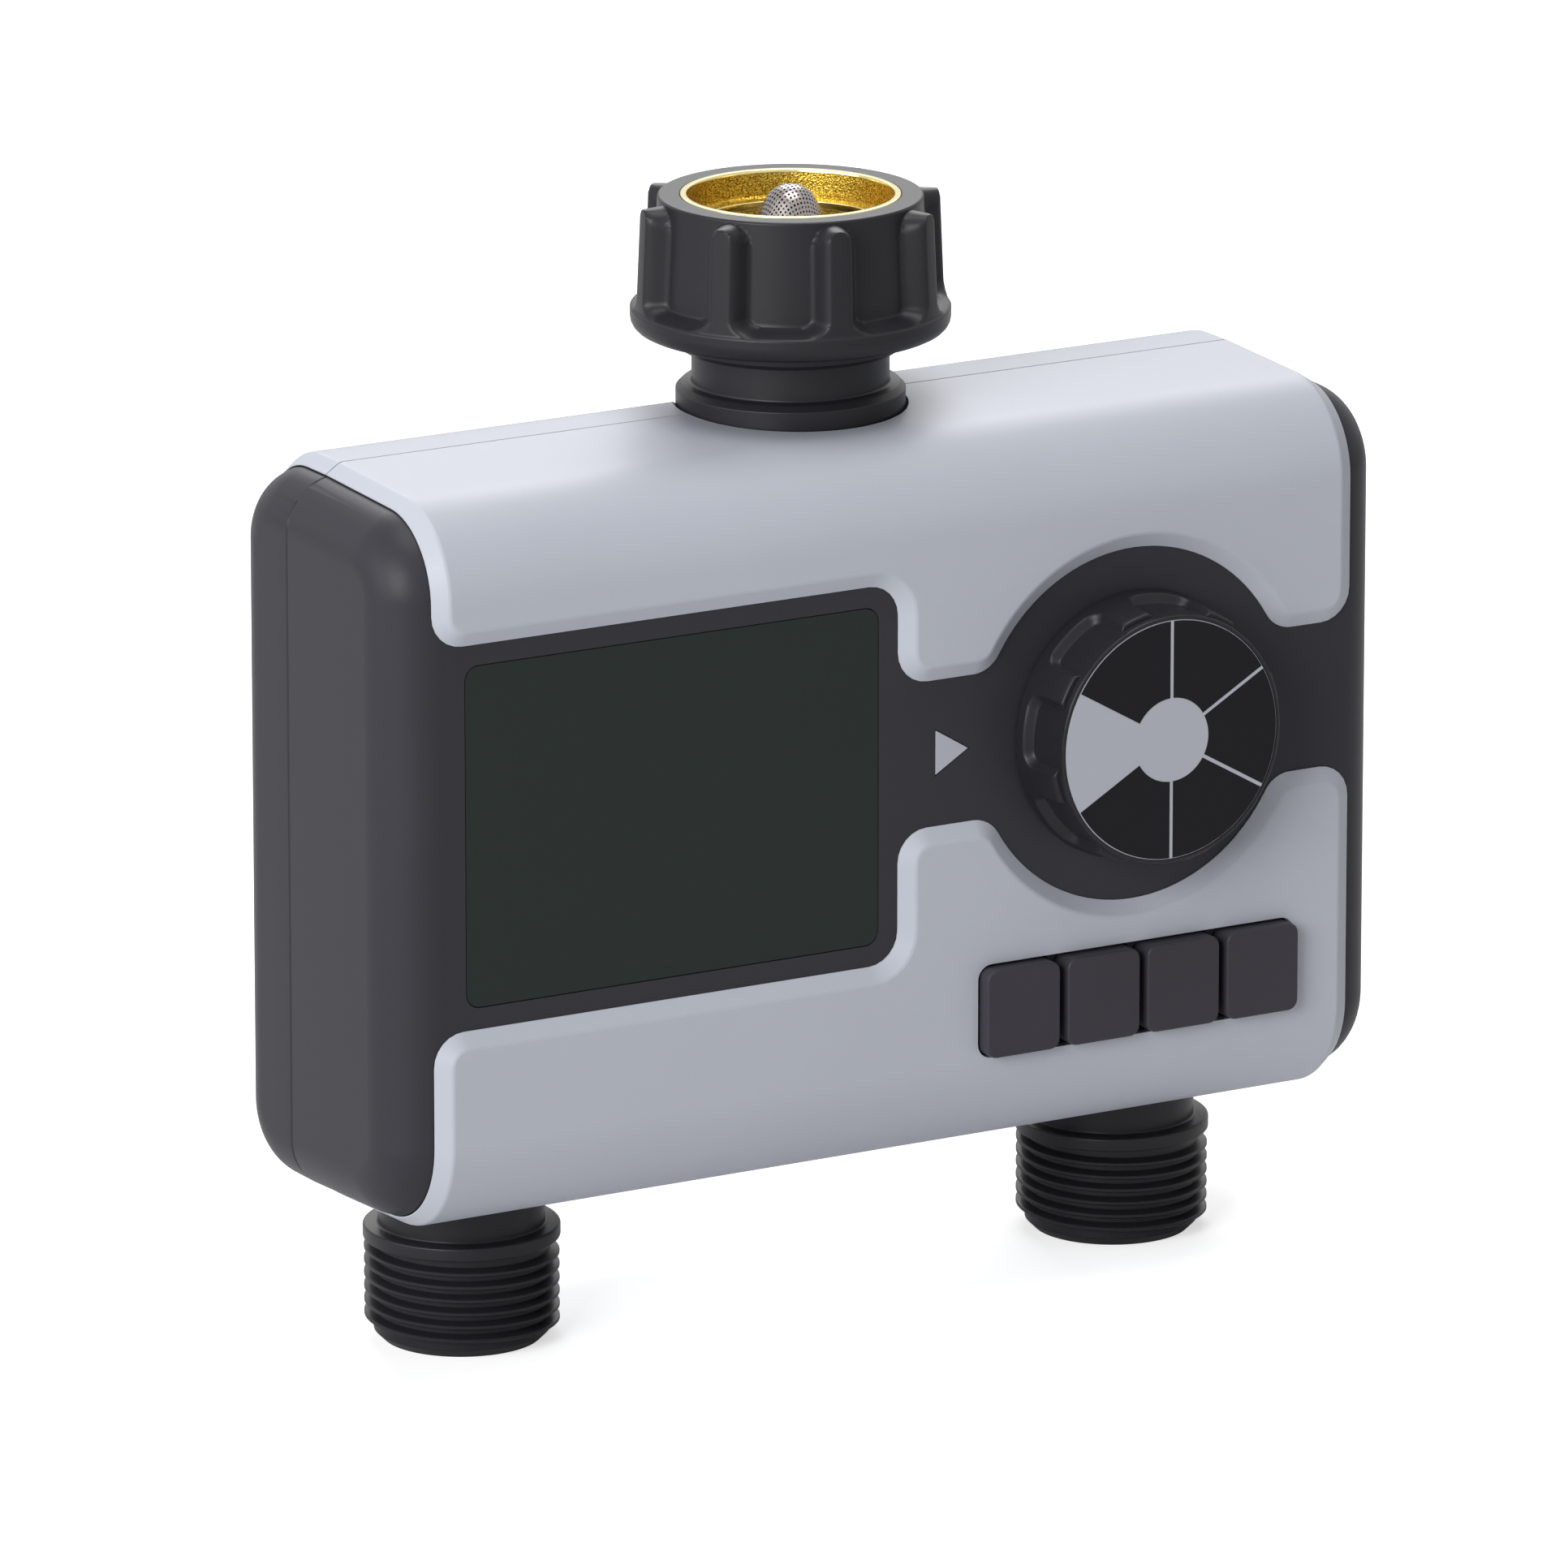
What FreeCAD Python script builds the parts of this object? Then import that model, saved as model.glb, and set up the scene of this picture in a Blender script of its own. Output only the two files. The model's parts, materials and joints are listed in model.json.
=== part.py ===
import FreeCAD, Part
import math
import os
import re
from types import SimpleNamespace

import Sketcher

# Two-outlet drip irrigation timer. Lengths are in millimetres.
# Heights in the sheet count from the open ends of the two outlets. Every sub-part is then lowered by
# mouth_height, so the frame's origin is the middle of the inlet's mouth, with +Z up and the front at -Y.

DRIVING_SIZES = [
    ("half_width", 77.05, "dark casing, half its width"),
    ("front_depth", 28.5, "front face of the casing, in front of the pipes' axis"),
    ("back_depth", 15.8, "back face of the casing, behind the pipes' axis"),
    ("casing_tall", 98.3, "dark casing at the parting plane"),
    ("bottom_height", 23.5, "underside of the casing at the parting plane"),
    ("draft", 0.04, "fall of the top and rise of the underside per millimetre towards the front"),
    ("top_front_round", 11.2, "rounding between top and front"),
    ("bottom_front_round", 12.2, "rounding between underside and front"),
    ("back_round", 10.5, "rounding along the back"),
    ("end_round", 7.5, "rounding round the left and right ends"),
    ("wall", 2.4, "wall of the casing"),
    ("cover_proud", 1.6, "covers stand this far off the casing"),
    ("cover_inset", 6.05, "ends of the covers, at the foot of the bevel, inside the casing's ends"),
    ("cover_gap", 0.05, "between covers and casing"),
    ("bevel_width", 2.1, "bevel round the covers, along the surface"),
    ("bevel_depth", 1.4, "bevel round the covers, across the thickness"),
    ("cut_corner", 4.5, "corners of the covers' outlines"),
    ("window_width", 62.9, "display window"),
    ("window_tall", 46.6, "display window"),
    ("window_inset", 11.1, "left edge of the window, inside the casing's left end"),
    ("window_rise", 54.55, "middle of the window above the casing's underside"),
    ("window_corner", 2.0, "corners of the window"),
    ("window_thick", 1.6, "pane of the window"),
    ("window_lip", 1.8, "ledge that the pane lies on"),
    ("module_wide", 60.0, "display module"),
    ("module_tall", 43.3, "display module"),
    ("module_thick", 4.0, "display module"),
    ("module_leg", 2.0, "legs of the display module"),
    ("band_margin", 3.0, "dark band round the window"),
    ("neck_half", 10.15, "dark band beside the dial, half its height"),
    ("ring_radius", 24.5, "round cut in the covers about the dial"),
    ("fit_gap", 0.12, "clearance round a seated piece"),
    ("slide_gap", 0.3, "clearance round a moving piece"),
    ("dial_inset", 40.35, "axis of the dial, inside the casing's right end"),
    ("dial_rise", 56.55, "axis of the dial above the casing's underside"),
    ("knob_radius", 18.6, "dial at its foot"),
    ("knob_reach", 10.2, "face of the dial in front of the casing"),
    ("knob_wall", 1.8, "wall of the dial"),
    ("knob_roof", 1.2, "dial's roof under the printed disc"),
    ("knob_core", 17.2, "dial between its ribs"),
    ("knob_lift", 0.3, "clearance under the dial"),
    ("knob_hub", 5.5, "hub inside the dial"),
    ("knob_ribs", 8, "ribs round the dial"),
    ("knob_rib_wide", 4.8, "rib of the dial"),
    ("knob_turn", 16, "turn of the dial's ribs, in degrees"),
    ("face_radius", 16.6, "printed disc in the dial"),
    ("face_thick", 0.8, "printed disc in the dial"),
    ("shaft_radius", 3.0, "dial's shaft"),
    ("shaft_cap", 1.9, "dial's material beyond the end of its shaft"),
    ("bush_radius", 5.5, "bush of the shaft"),
    ("shaft_seal", 4.8, "shaft seal, outside"),
    ("encoder_side", 12.0, "encoder, square body"),
    ("encoder_tall", 6.4, "encoder, above the circuit board"),
    ("seal_recess", 1.6, "recess of the shaft seal"),
    ("running_gap", 0.08, "radial clearance of a shaft or swivel"),
    ("board_front", 19.0, "front face of the circuit board, in front of the axis"),
    ("board_thick", 1.6, "circuit board"),
    ("board_inset", 13.05, "ends of the circuit board, inside the casing's ends"),
    ("board_rise", 14.9, "lower edge of the circuit board above the casing's underside"),
    ("board_drop", 12.9, "upper edge of the circuit board under the casing's top"),
    ("stake_inset", 6.0, "stakes inside the circuit board's edges"),
    ("stake_rise", 19.5, "right lower stake above the circuit board's lower edge"),
    ("chip_side", 10.0, "controller on the board"),
    ("chip_thick", 1.4, "controller on the board"),
    ("plug_x", -12.0, "left end of the board's connector"),
    ("plug_wide", 14.0, "connector on the board"),
    ("plug_deep", 6.0, "connector on the board"),
    ("plug_tall", 5.0, "connector on the board"),
    ("button_wide", 11.4, "button cap"),
    ("button_tall", 12.3, "button cap"),
    ("button_pitch", 12.6, "spacing of the buttons"),
    ("button_rise", 19.85, "middle of the row of buttons above the casing's underside"),
    ("button_proud", 2.0, "caps stand this far off the cover"),
    ("button_corner", 1.5, "corners of the caps"),
    ("button_gap", 0.4, "round the row of caps, in the cover"),
    ("button_travel", 1.0, "press of a button"),
    ("button_flange", 1.2, "flange behind a button's cap"),
    ("button_stem", 1.6, "stem of a button"),
    ("stop_gap", 0.1, "between a button's flange and the casing"),
    ("switch_side", 6.0, "key switch, square body"),
    ("switch_tall", 3.4, "key switch"),
    ("switch_nub", 0.5, "key switch, its own button"),
    ("pointer_x", 5.9, "left edge of the pointer"),
    ("pointer_wide", 5.1, "length of the pointer"),
    ("pointer_tall", 6.2, "height of the pointer"),
    ("pointer_thick", 0.8, "inlay of the pointer"),
    ("outlet_inset", 25.8, "axis of each outlet, inside the casing's ends"),
    ("thread_radius", 13.22, "pipe thread G 3/4, outside radius"),
    ("outlet_bore", 8.5, "bore of an outlet"),
    ("outlet_rise", 6.0, "top of the outlet above its seat"),
    ("seat_rise", 8.4, "seat of the outlet's inner flange above the casing's underside"),
    ("seat_flange", 1.6, "outlet's inner flange"),
    ("seat_radius", 12.7, "outlet's inner flange and the boss under it"),
    ("outlet_neck", 11.3, "neck above the outlet's flange"),
    ("outlet_flange", 13.52, "flange above the thread"),
    ("flange_top", 15.95, "top of the outlet's flange"),
    ("flange_thick", 1.9, "outlet's flange"),
    ("thread_low", 2.3, "lower end of the thread"),
    ("thread_relief", 0.4, "relief between thread and flange"),
    ("end_radius", 11.95, "plain end below the thread"),
    ("end_tip", 10.75, "outlet's tip"),
    ("end_chamfer", 1.2, "height of the chamfer at the tip"),
    ("collar_radius", 15.5, "collar of the inlet"),
    ("cut_gap", 0.4, "clearance of the covers round collar and outlets"),
    ("shank_radius", 11.0, "inlet's shank in the casing"),
    ("shank_deep", 6.9, "shank in the casing"),
    ("tail_radius", 8.0, "inlet's tail in the manifold"),
    ("tail_deep", 12.9, "shank and tail in the casing"),
    ("boss_deep", 8.4, "boss round the shank"),
    ("swivel_flange", 14.4, "flange that the nut turns under"),
    ("collar_tall", 4.3, "collar of the inlet"),
    ("collar_chamfer", 0.8, "chamfer of the collar"),
    ("neck_radius", 13.35, "neck of the inlet, on which the nut swivels"),
    ("neck_long", 4.9, "neck between collar and nut"),
    ("nut_tall", 20.9, "swivel nut"),
    ("nut_skirt", 21.6, "widest radius of the nut"),
    ("nut_top_radius", 17.9, "top of the nut"),
    ("nut_core", 18.6, "nut between its ribs"),
    ("nut_ribs", 8, "ribs round the nut"),
    ("nut_rib_wide", 5.2, "rib of the nut"),
    ("nut_rib_drop", 1.3, "top of the nut's ribs under its rim"),
    ("nut_rib_high", 20.8, "radius of a rib at its top"),
    ("nut_rib_low", 21.4, "radius of a rib at its foot"),
    ("nut_skirt_tall", 6.9, "nut below the recesses between its ribs"),
    ("nut_slope", 1.4, "slope at the foot of the recesses"),
    ("nut_hub", 15.4, "hub under the nut"),
    ("nut_hub_tall", 2.3, "hub under the nut"),
    ("nut_round", 2.0, "rounding under the nut's skirt"),
    ("nut_turn", -11.7, "turn of the nut's ribs, in degrees"),
    ("lip_thick", 1.9, "lip that holds the nut on the neck"),
    ("insert_radius", 14.85, "brass insert, outside"),
    ("thread_minor", 12.06, "pipe thread G 3/4, minor radius"),
    ("insert_proud", 0.1, "brass rim above the nut"),
    ("mouth_deep", 1.5, "depth of the lead-in"),
    ("mouth_radius", 14.0, "lead-in of the brass insert"),
    ("swivel_thick", 6.1, "flange that the nut turns under"),
    ("washer_thick", 2.5, "inlet's washer"),
    ("inlet_bore", 7.0, "bore of the inlet"),
    ("screen_rim", 10.8, "filter screen's rim"),
    ("screen_foot", 8.6, "filter screen at its foot"),
    ("screen_tip", 2.4, "filter screen's domed end"),
    ("screen_proud", 1.25, "screen above the mouth"),
    ("screen_wall", 0.5, "filter screen"),
    ("screen_rim_thick", 0.8, "filter screen's rim"),
    ("manifold_drop", 14.9, "axis of the cross pipe under the casing's top"),
    ("manifold_radius", 6.0, "cross pipe"),
    ("socket_radius", 10.5, "socket of the manifold"),
    ("seal_thick", 1.0, "seal between the shank and the manifold's socket"),
    ("stub_radius", 4.2, "side stub of a drop pipe"),
    ("drop_offset", 16.25, "axis of each drop pipe, from its outlet's axis"),
    ("drop_radius", 4.8, "drop pipe"),
    ("pipe_wall", 1.6, "walls of the pipes"),
    ("port_rise", 14.0, "valve's side port above the valve body's underside"),
    ("port_offset", 11.25, "face of the valve's side port, from its outlet's axis"),
    ("valve_radius", 10.5, "valve body"),
    ("valve_gap", 3.0, "valve body above the outlet"),
    ("valve_tall", 20.0, "valve body"),
    ("valve_bore", 5.5, "bore under the valve's seat"),
    ("valve_wall", 1.5, "walls of the valve"),
    ("ring_rise", 2.0, "underside of the outlet's O-ring above the valve's tail"),
    ("ring_cord", 1.4, "O-ring's cord"),
    ("membrane_thick", 1.6, "diaphragm"),
    ("bonnet_thick", 4.4, "bonnet over the diaphragm"),
    ("coil_radius", 9.0, "latching solenoid"),
    ("coil_tall", 26.0, "latching solenoid"),
    ("plunger_radius", 3.4, "plunger"),
    ("plunger_tall", 20.0, "plunger"),
    ("plunger_foot", 0.4, "plunger above the diaphragm"),
    ("spring_radius", 2.8, "plunger's spring"),
    ("spring_wire", 0.6, "plunger's spring"),
    ("spring_long", 7.8, "plunger's spring at rest"),
    ("coil_cap", 2.1, "closed end of the solenoid"),
    ("cell_radius", 7.25, "AA cell"),
    ("cell_long", 50.5, "AA cell with its terminal"),
    ("cell_nub", 1.0, "AA cell's terminal"),
    ("nub_radius", 2.75, "AA cell's terminal"),
    ("contact_half", 5.0, "contact plates, half their side"),
    ("contact_thick", 0.5, "contact plates"),
    ("cell_pitch", 15.0, "spacing of the cells"),
    ("bay_x", 27.9, "battery bay, half its width inside"),
    ("bay_rise", 51.5, "middle of the battery bay above the casing's underside"),
    ("bay_half", 15.1, "battery bay, half its height inside"),
    ("bay_floor", 5.0, "floor of the bay, in front of the axis"),
    ("bay_wall", 1.6, "walls of the bay"),
    ("door_x", 31.0, "battery door, half its width"),
    ("door_half", 18.6, "battery door, half its height"),
    ("door_thick", 1.9, "battery door"),
    ("door_rim", 1.2, "inner rim of the door"),
    ("door_rim_deep", 3.7, "inner rim of the door"),
    ("gasket_thick", 0.5, "door's gasket"),
    ("grip_wide", 18.0, "finger recess of the door"),
    ("grip_tall", 5.0, "finger recess of the door"),
    ("door_seat", 2.6, "depth of the door's recess"),
    ("door_corner", 3.0, "corners of the door"),
    ("screw_inset", 8.05, "casing screws at the ends, inside the casing's ends"),
    ("screw_inner_x", 22.0, "casing screws under the bay"),
    ("screw_drop", 9.9, "upper casing screws under the casing's top"),
    ("screw_rise", 9.3, "lower casing screws above its underside"),
    ("boss_radius", 3.5, "screw bosses"),
    ("screw_radius", 1.5, "casing screws"),
    ("head_radius", 2.8, "screw heads"),
    ("head_thick", 2.2, "screw heads"),
    ("head_recess", 3.4, "depth of the recess for a screw head"),
    ("seam_gap", 0.15, "seam between front and rear covers"),
    ("seal_wide", 1.0, "cord of the casing seal"),
    ("seal_inset", 0.7, "cord of the casing seal, inside the casing's outline"),
    ("standoff_radius", 2.5, "standoffs under the circuit board"),
    ("stake_radius", 1.0, "stakes through the circuit board"),
    ("screw_deep", 12.0, "screws into the front half"),
    ("beyond", 2.0, "how far a cut runs past the faces that it opens"),
]

# Sizes worked out from the driving ones.
WORKED_OUT = {
    "top_height": "bottom_height + casing_tall",
    "collar_top": "top_height + collar_tall",
    "nut_low": "collar_top + neck_long",
    "mouth_height": "nut_low + nut_tall",
    "nut_shoulder": "nut_low + nut_skirt_tall",
    "nut_rib_top": "mouth_height - nut_rib_drop",
    "washer_low": "nut_low + lip_thick + slide_gap + swivel_thick",
    "screen_seat": "washer_low + washer_thick",
    "shank_low": "top_height - shank_deep",
    "tail_low": "top_height - tail_deep",
    "inlet_boss_low": "top_height - boss_deep",
    "socket_top": "shank_low - seal_thick",
    "manifold_z": "top_height - manifold_drop",
    "window_x": "window_inset + window_width/2 - half_width",
    "window_z": "bottom_height + window_rise",
    "dial_x": "half_width - dial_inset",
    "dial_z": "bottom_height + dial_rise",
    "button_z": "bottom_height + button_rise",
    "cover_half_width": "half_width - cover_inset",
    "board_half_width": "half_width - board_inset",
    "board_low": "bottom_height + board_rise",
    "board_high": "top_height - board_drop",
    "bay_z": "bottom_height + bay_rise",
    "screw_x": "half_width - screw_inset",
    "screw_high": "top_height - screw_drop",
    "screw_low": "bottom_height + screw_rise",
    "outlet_x": "half_width - outlet_inset",
    "seat_height": "bottom_height + seat_rise",
    "outlet_top": "seat_height + outlet_rise",
    "ring_groove": "seat_height + ring_rise",
    "valve_low": "outlet_top + valve_gap",
    "valve_top": "valve_low + valve_tall",
    "port_z": "valve_low + port_rise",
    "port_x": "outlet_x - port_offset",
    "drop_x": "outlet_x - drop_offset",
}

doc = FreeCAD.newDocument("IrrigationTimer")
sheet = doc.addObject("Spreadsheet::Sheet", "Sizes")
for row, (alias, number, meaning) in enumerate(DRIVING_SIZES, start=1):
    sheet.set(f"A{row}", meaning)
    sheet.set(f"B{row}", str(number))
    sheet.setAlias(f"B{row}", alias)
doc.recompute()

SIZE_NAMES = re.compile(r"\b(" + "|".join(item[0] for item in DRIVING_SIZES) + r")\b")
WORKED_OUT_NAMES = re.compile(r"\b(" + "|".join(WORKED_OUT) + r")\b")
SIZE = SimpleNamespace(**{item[0]: float(sheet.get(item[0])) for item in DRIVING_SIZES})
NEAR = 1e-3
FINISHED = []


def bound(text):
    """An expression in which worked-out sizes are spelled out and each size's name points at the sheet."""
    spelled = str(text)
    while WORKED_OUT_NAMES.search(spelled):
        spelled = WORKED_OUT_NAMES.sub(lambda found: f"({WORKED_OUT[found[0]]})", spelled)
    return SIZE_NAMES.sub(r"Sizes.\1", spelled)


# ---------------------------------------------------------------- solids from primitives

def placed(item, x=0, y=0, z=0):
    """Bind where an object stands."""
    item.setExpression(".Placement.Base.x", bound(x))
    item.setExpression(".Placement.Base.y", bound(y))
    item.setExpression(".Placement.Base.z", bound(z))
    return item


def block(name, x_range, y_range, z_range):
    """A box between bound limits."""
    item = doc.addObject("Part::Box", name)
    item.setExpression("Length", bound(f"({x_range[1]}) - ({x_range[0]})"))
    item.setExpression("Width", bound(f"({y_range[1]}) - ({y_range[0]})"))
    item.setExpression("Height", bound(f"({z_range[1]}) - ({z_range[0]})"))
    return placed(item, x_range[0], y_range[0], z_range[0])


TURN_FROM_Z = {
    "x": FreeCAD.Rotation(FreeCAD.Vector(0, 1, 0), 90),
    "y": FreeCAD.Rotation(FreeCAD.Vector(1, 0, 0), -90),
    "z": FreeCAD.Rotation(),
}


def rod(name, axis, radius, span, across):
    """A cylinder along an axis, over a span of it, at the other two coordinates in X, Y, Z order."""
    item = doc.addObject("Part::Cylinder", name)
    item.Placement.Rotation = TURN_FROM_Z[axis]
    item.setExpression("Radius", bound(radius))
    item.setExpression("Height", bound(f"({span[1]}) - ({span[0]})"))
    spot = {
        "x": (span[0], across[0], across[1]),
        "y": (across[0], span[0], across[1]),
        "z": (across[0], across[1], span[0]),
    }[axis]
    return placed(item, *spot)


def joined(name, parts):
    """Several solids fused into one."""
    item = doc.addObject("Part::MultiFuse", name)
    item.Shapes = parts
    item.Refine = True
    return item


def less(name, base, tools):
    """A solid with others cut from it."""
    item = doc.addObject("Part::Cut", name)
    item.Base = base
    item.Tool = tools[0] if len(tools) == 1 else joined(name + "_cuts", tools)
    return item


def gathered(name, parts):
    """A group of separate solids in one node."""
    item = doc.addObject("Part::Compound", name)
    item.Links = parts
    return item


def finish(item, label, x=0, y=0, z=0):
    """Name a sub-part, set it in the frame and list it for export."""
    item.Label = label
    placed(item, x, y, f"({z}) - mouth_height")
    FINISHED.append(item)
    return item


# ---------------------------------------------------------------- solids from sketches

def new_body(name):
    return doc.addObject("PartDesign::Body", name)


def sketch_on(body, role, name, offset=0):
    """A sketch on an origin plane of its own body, moved along the plane's normal."""
    plane = next(item for item in body.Origin.OriginFeatures if item.Role == role)
    sketch = body.newObject("Sketcher::SketchObject", name)
    sketch.AttachmentSupport = [(plane, "")]
    sketch.MapMode = "FlatFace"
    sketch.setExpression(".AttachmentOffset.Base.z", bound(offset))
    return sketch


def pin_point(sketch, geometry, point, u, v):
    """Hold a point of the sketch at bound coordinates."""
    spot = sketch.getPoint(geometry, point)
    for kind, text, now in (("DistanceX", u, spot.x), ("DistanceY", v, spot.y)):
        index = sketch.addConstraint(Sketcher.Constraint(kind, -1, 1, geometry, point, now))
        sketch.setExpression(f"Constraints[{index}]", bound(text))


def outline(sketch, points):
    """A closed outline of straight lines whose corners are bound to the sheet."""
    count = len(points)
    spots = [FreeCAD.Vector(math.cos(2 * math.pi * k / count), math.sin(2 * math.pi * k / count), 0)
             for k in range(count)]
    lines = [sketch.addGeometry(Part.LineSegment(spots[k], spots[(k + 1) % count])) for k in range(count)]
    for k in range(count):
        sketch.addConstraint(Sketcher.Constraint("Coincident", lines[k], 2, lines[(k + 1) % count], 1))
    for line, (u, v) in zip(lines, points):
        pin_point(sketch, line, 1, u, v)
    return sketch


def circle(sketch, u, v, radius):
    """A circle whose middle and radius are bound to the sheet."""
    ring = sketch.addGeometry(Part.Circle(FreeCAD.Vector(1, 1, 0), FreeCAD.Vector(0, 0, 1), 1))
    pin_point(sketch, ring, 3, u, v)
    index = sketch.addConstraint(Sketcher.Constraint("Radius", ring, 1.0))
    sketch.setExpression(f"Constraints[{index}]", bound(radius))
    return sketch


def rectangle(sketch, u, v, wide, tall):
    """A rectangle about a middle."""
    left, right = f"({u}) - ({wide})/2", f"({u}) + ({wide})/2"
    low, high = f"({v}) - ({tall})/2", f"({v}) + ({tall})/2"
    return outline(sketch, [(left, low), (right, low), (right, high), (left, high)])


def extruded(body, kind, sketch, name, length, side="One side", reverse=False):
    """A pad or pocket of a sketch."""
    feature = body.newObject("PartDesign::" + kind, name)
    feature.Profile = sketch
    feature.SideType = side
    feature.Reversed = reverse
    feature.setExpression("Length", bound(length))
    doc.recompute()
    return feature


def pad(body, sketch, name, length, side="One side", reverse=False):
    return extruded(body, "Pad", sketch, name, length, side, reverse)


def pocket(body, sketch, name, length, side="One side", reverse=False):
    """A pocket, which must take something away."""
    before = body.Shape.Volume
    feature = extruded(body, "Pocket", sketch, name, length, side, reverse)
    if before - body.Shape.Volume < NEAR:
        raise RuntimeError(f"{body.Name}.{name} cuts nothing")
    return feature


def turned(body, sketch, name, kind="Revolution", angle=360, reverse=False):
    """A revolution or groove of a sketch about its own vertical axis."""
    feature = body.newObject("PartDesign::" + kind, name)
    feature.Profile = sketch
    feature.ReferenceAxis = (sketch, ["V_Axis"])
    feature.Angle = angle
    feature.Reversed = reverse
    doc.recompute()
    return feature


def edges_that(body, test):
    """Names of the body's edges that pass a test."""
    return [f"Edge{k}" for k, edge in enumerate(body.Shape.Edges, start=1) if test(edge)]


def faces_that(body, test):
    return [f"Face{k}" for k, face in enumerate(body.Shape.Faces, start=1) if test(face)]


def is_straight(edge, axis):
    """Whether an edge is a straight line along an axis."""
    if edge.Curve.TypeId != "Part::GeomLine":
        return False
    return abs(abs(edge.tangentAt(edge.FirstParameter)["xyz".index(axis)]) - 1) < NEAR


def middle(edge):
    return edge.valueAt((edge.FirstParameter + edge.LastParameter) / 2)


def filleted(body, name, test, radius):
    """Round the edges that pass a test."""
    feature = body.newObject("PartDesign::Fillet", name)
    feature.Base = (feature.BaseFeature, edges_that(body, test))
    feature.setExpression("Radius", bound(radius))
    doc.recompute()
    return feature


def shelled(body, name, test, wall="wall"):
    """Hollow a body to a wall, open at the faces that pass a test."""
    feature = body.newObject("PartDesign::Thickness", name)
    feature.Base = (feature.BaseFeature, faces_that(body, test))
    feature.setExpression("Value", bound(wall))
    feature.Mode = "Skin"
    feature.Join = "Arc"
    feature.Reversed = True
    doc.recompute()
    return feature


def patterned(body, name, original, count):
    """Repeat a feature round the body's own vertical axis."""
    feature = body.newObject("PartDesign::PolarPattern", name)
    feature.Originals = [original]
    feature.Axis = (next(item for item in body.Origin.OriginFeatures if item.Role == "Z_Axis"), [""])
    feature.Angle = 360
    feature.setExpression("Occurrences", bound(count))
    body.Tip = feature
    doc.recompute()
    return feature


def arch(sketch, wide, low, high):
    """An upright outline about the sketch's vertical axis, with a half-round top."""
    top = sketch.addGeometry(Part.ArcOfCircle(
        Part.Circle(FreeCAD.Vector(0, 1, 0), FreeCAD.Vector(0, 0, 1), 1), 0, math.pi))
    right = sketch.addGeometry(Part.LineSegment(FreeCAD.Vector(1, 0, 0), FreeCAD.Vector(1, 1, 0)))
    left = sketch.addGeometry(Part.LineSegment(FreeCAD.Vector(-1, 1, 0), FreeCAD.Vector(-1, 0, 0)))
    foot = sketch.addGeometry(Part.LineSegment(FreeCAD.Vector(-1, 0, 0), FreeCAD.Vector(1, 0, 0)))
    for rule in (("Tangent", top, 1, right, 2), ("Tangent", top, 2, left, 1), ("Coincident", left, 2, foot, 1),
                 ("Coincident", foot, 2, right, 1), ("Vertical", right), ("Vertical", left)):
        sketch.addConstraint(Sketcher.Constraint(*rule))
    pin_point(sketch, top, 3, "0", f"({high}) - ({wide})/2")
    pin_point(sketch, foot, 1, f"-({wide})/2", low)
    sketch.addConstraint(Sketcher.Constraint("Horizontal", foot))
    return sketch


def round_rectangle(sketch, u, v, wide, tall, corner):
    """A rectangle about a middle, with round corners."""
    span, radius = 10, 2
    arcs, sides = [], []
    for k in range(4):
        turn = FreeCAD.Rotation(FreeCAD.Vector(0, 0, 1), 90 * k)
        middle_of_arc = turn.multVec(FreeCAD.Vector(span - radius, span - radius, 0))
        ring = Part.Circle(middle_of_arc, FreeCAD.Vector(0, 0, 1), radius)
        arcs.append(sketch.addGeometry(Part.ArcOfCircle(ring, k * math.pi / 2, (k + 1) * math.pi / 2)))
        ends = [turn.multVec(FreeCAD.Vector(along, span, 0)) for along in (span - radius, radius - span)]
        sides.append(sketch.addGeometry(Part.LineSegment(*ends)))
    for k in range(4):
        sketch.addConstraint(Sketcher.Constraint("Tangent", arcs[k], 2, sides[k], 1))
        sketch.addConstraint(Sketcher.Constraint("Tangent", sides[k], 2, arcs[(k + 1) % 4], 1))
        sketch.addConstraint(Sketcher.Constraint("Vertical" if k % 2 else "Horizontal", sides[k]))
        index = sketch.addConstraint(Sketcher.Constraint("Radius", arcs[k], float(radius)))
        sketch.setExpression(f"Constraints[{index}]", bound(corner))
    for k, way in ((0, "1"), (2, "-1")):
        pin_point(sketch, arcs[k], 3, f"({u}) + {way} * (({wide})/2 - ({corner}))",
                  f"({v}) + {way} * (({tall})/2 - ({corner}))")
    return sketch


# ---------------------------------------------------------------- light covers

def ledge(depth, rise, front, height):
    """Height of the casing's top or underside at a depth, plus a rise; the front half is drafted."""
    fall = f"draft * ({depth})" if front else "0"
    if height == "top_height":
        return f"top_height + ({rise}) - {fall}"
    return f"bottom_height - ({rise}) + {fall}"


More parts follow.
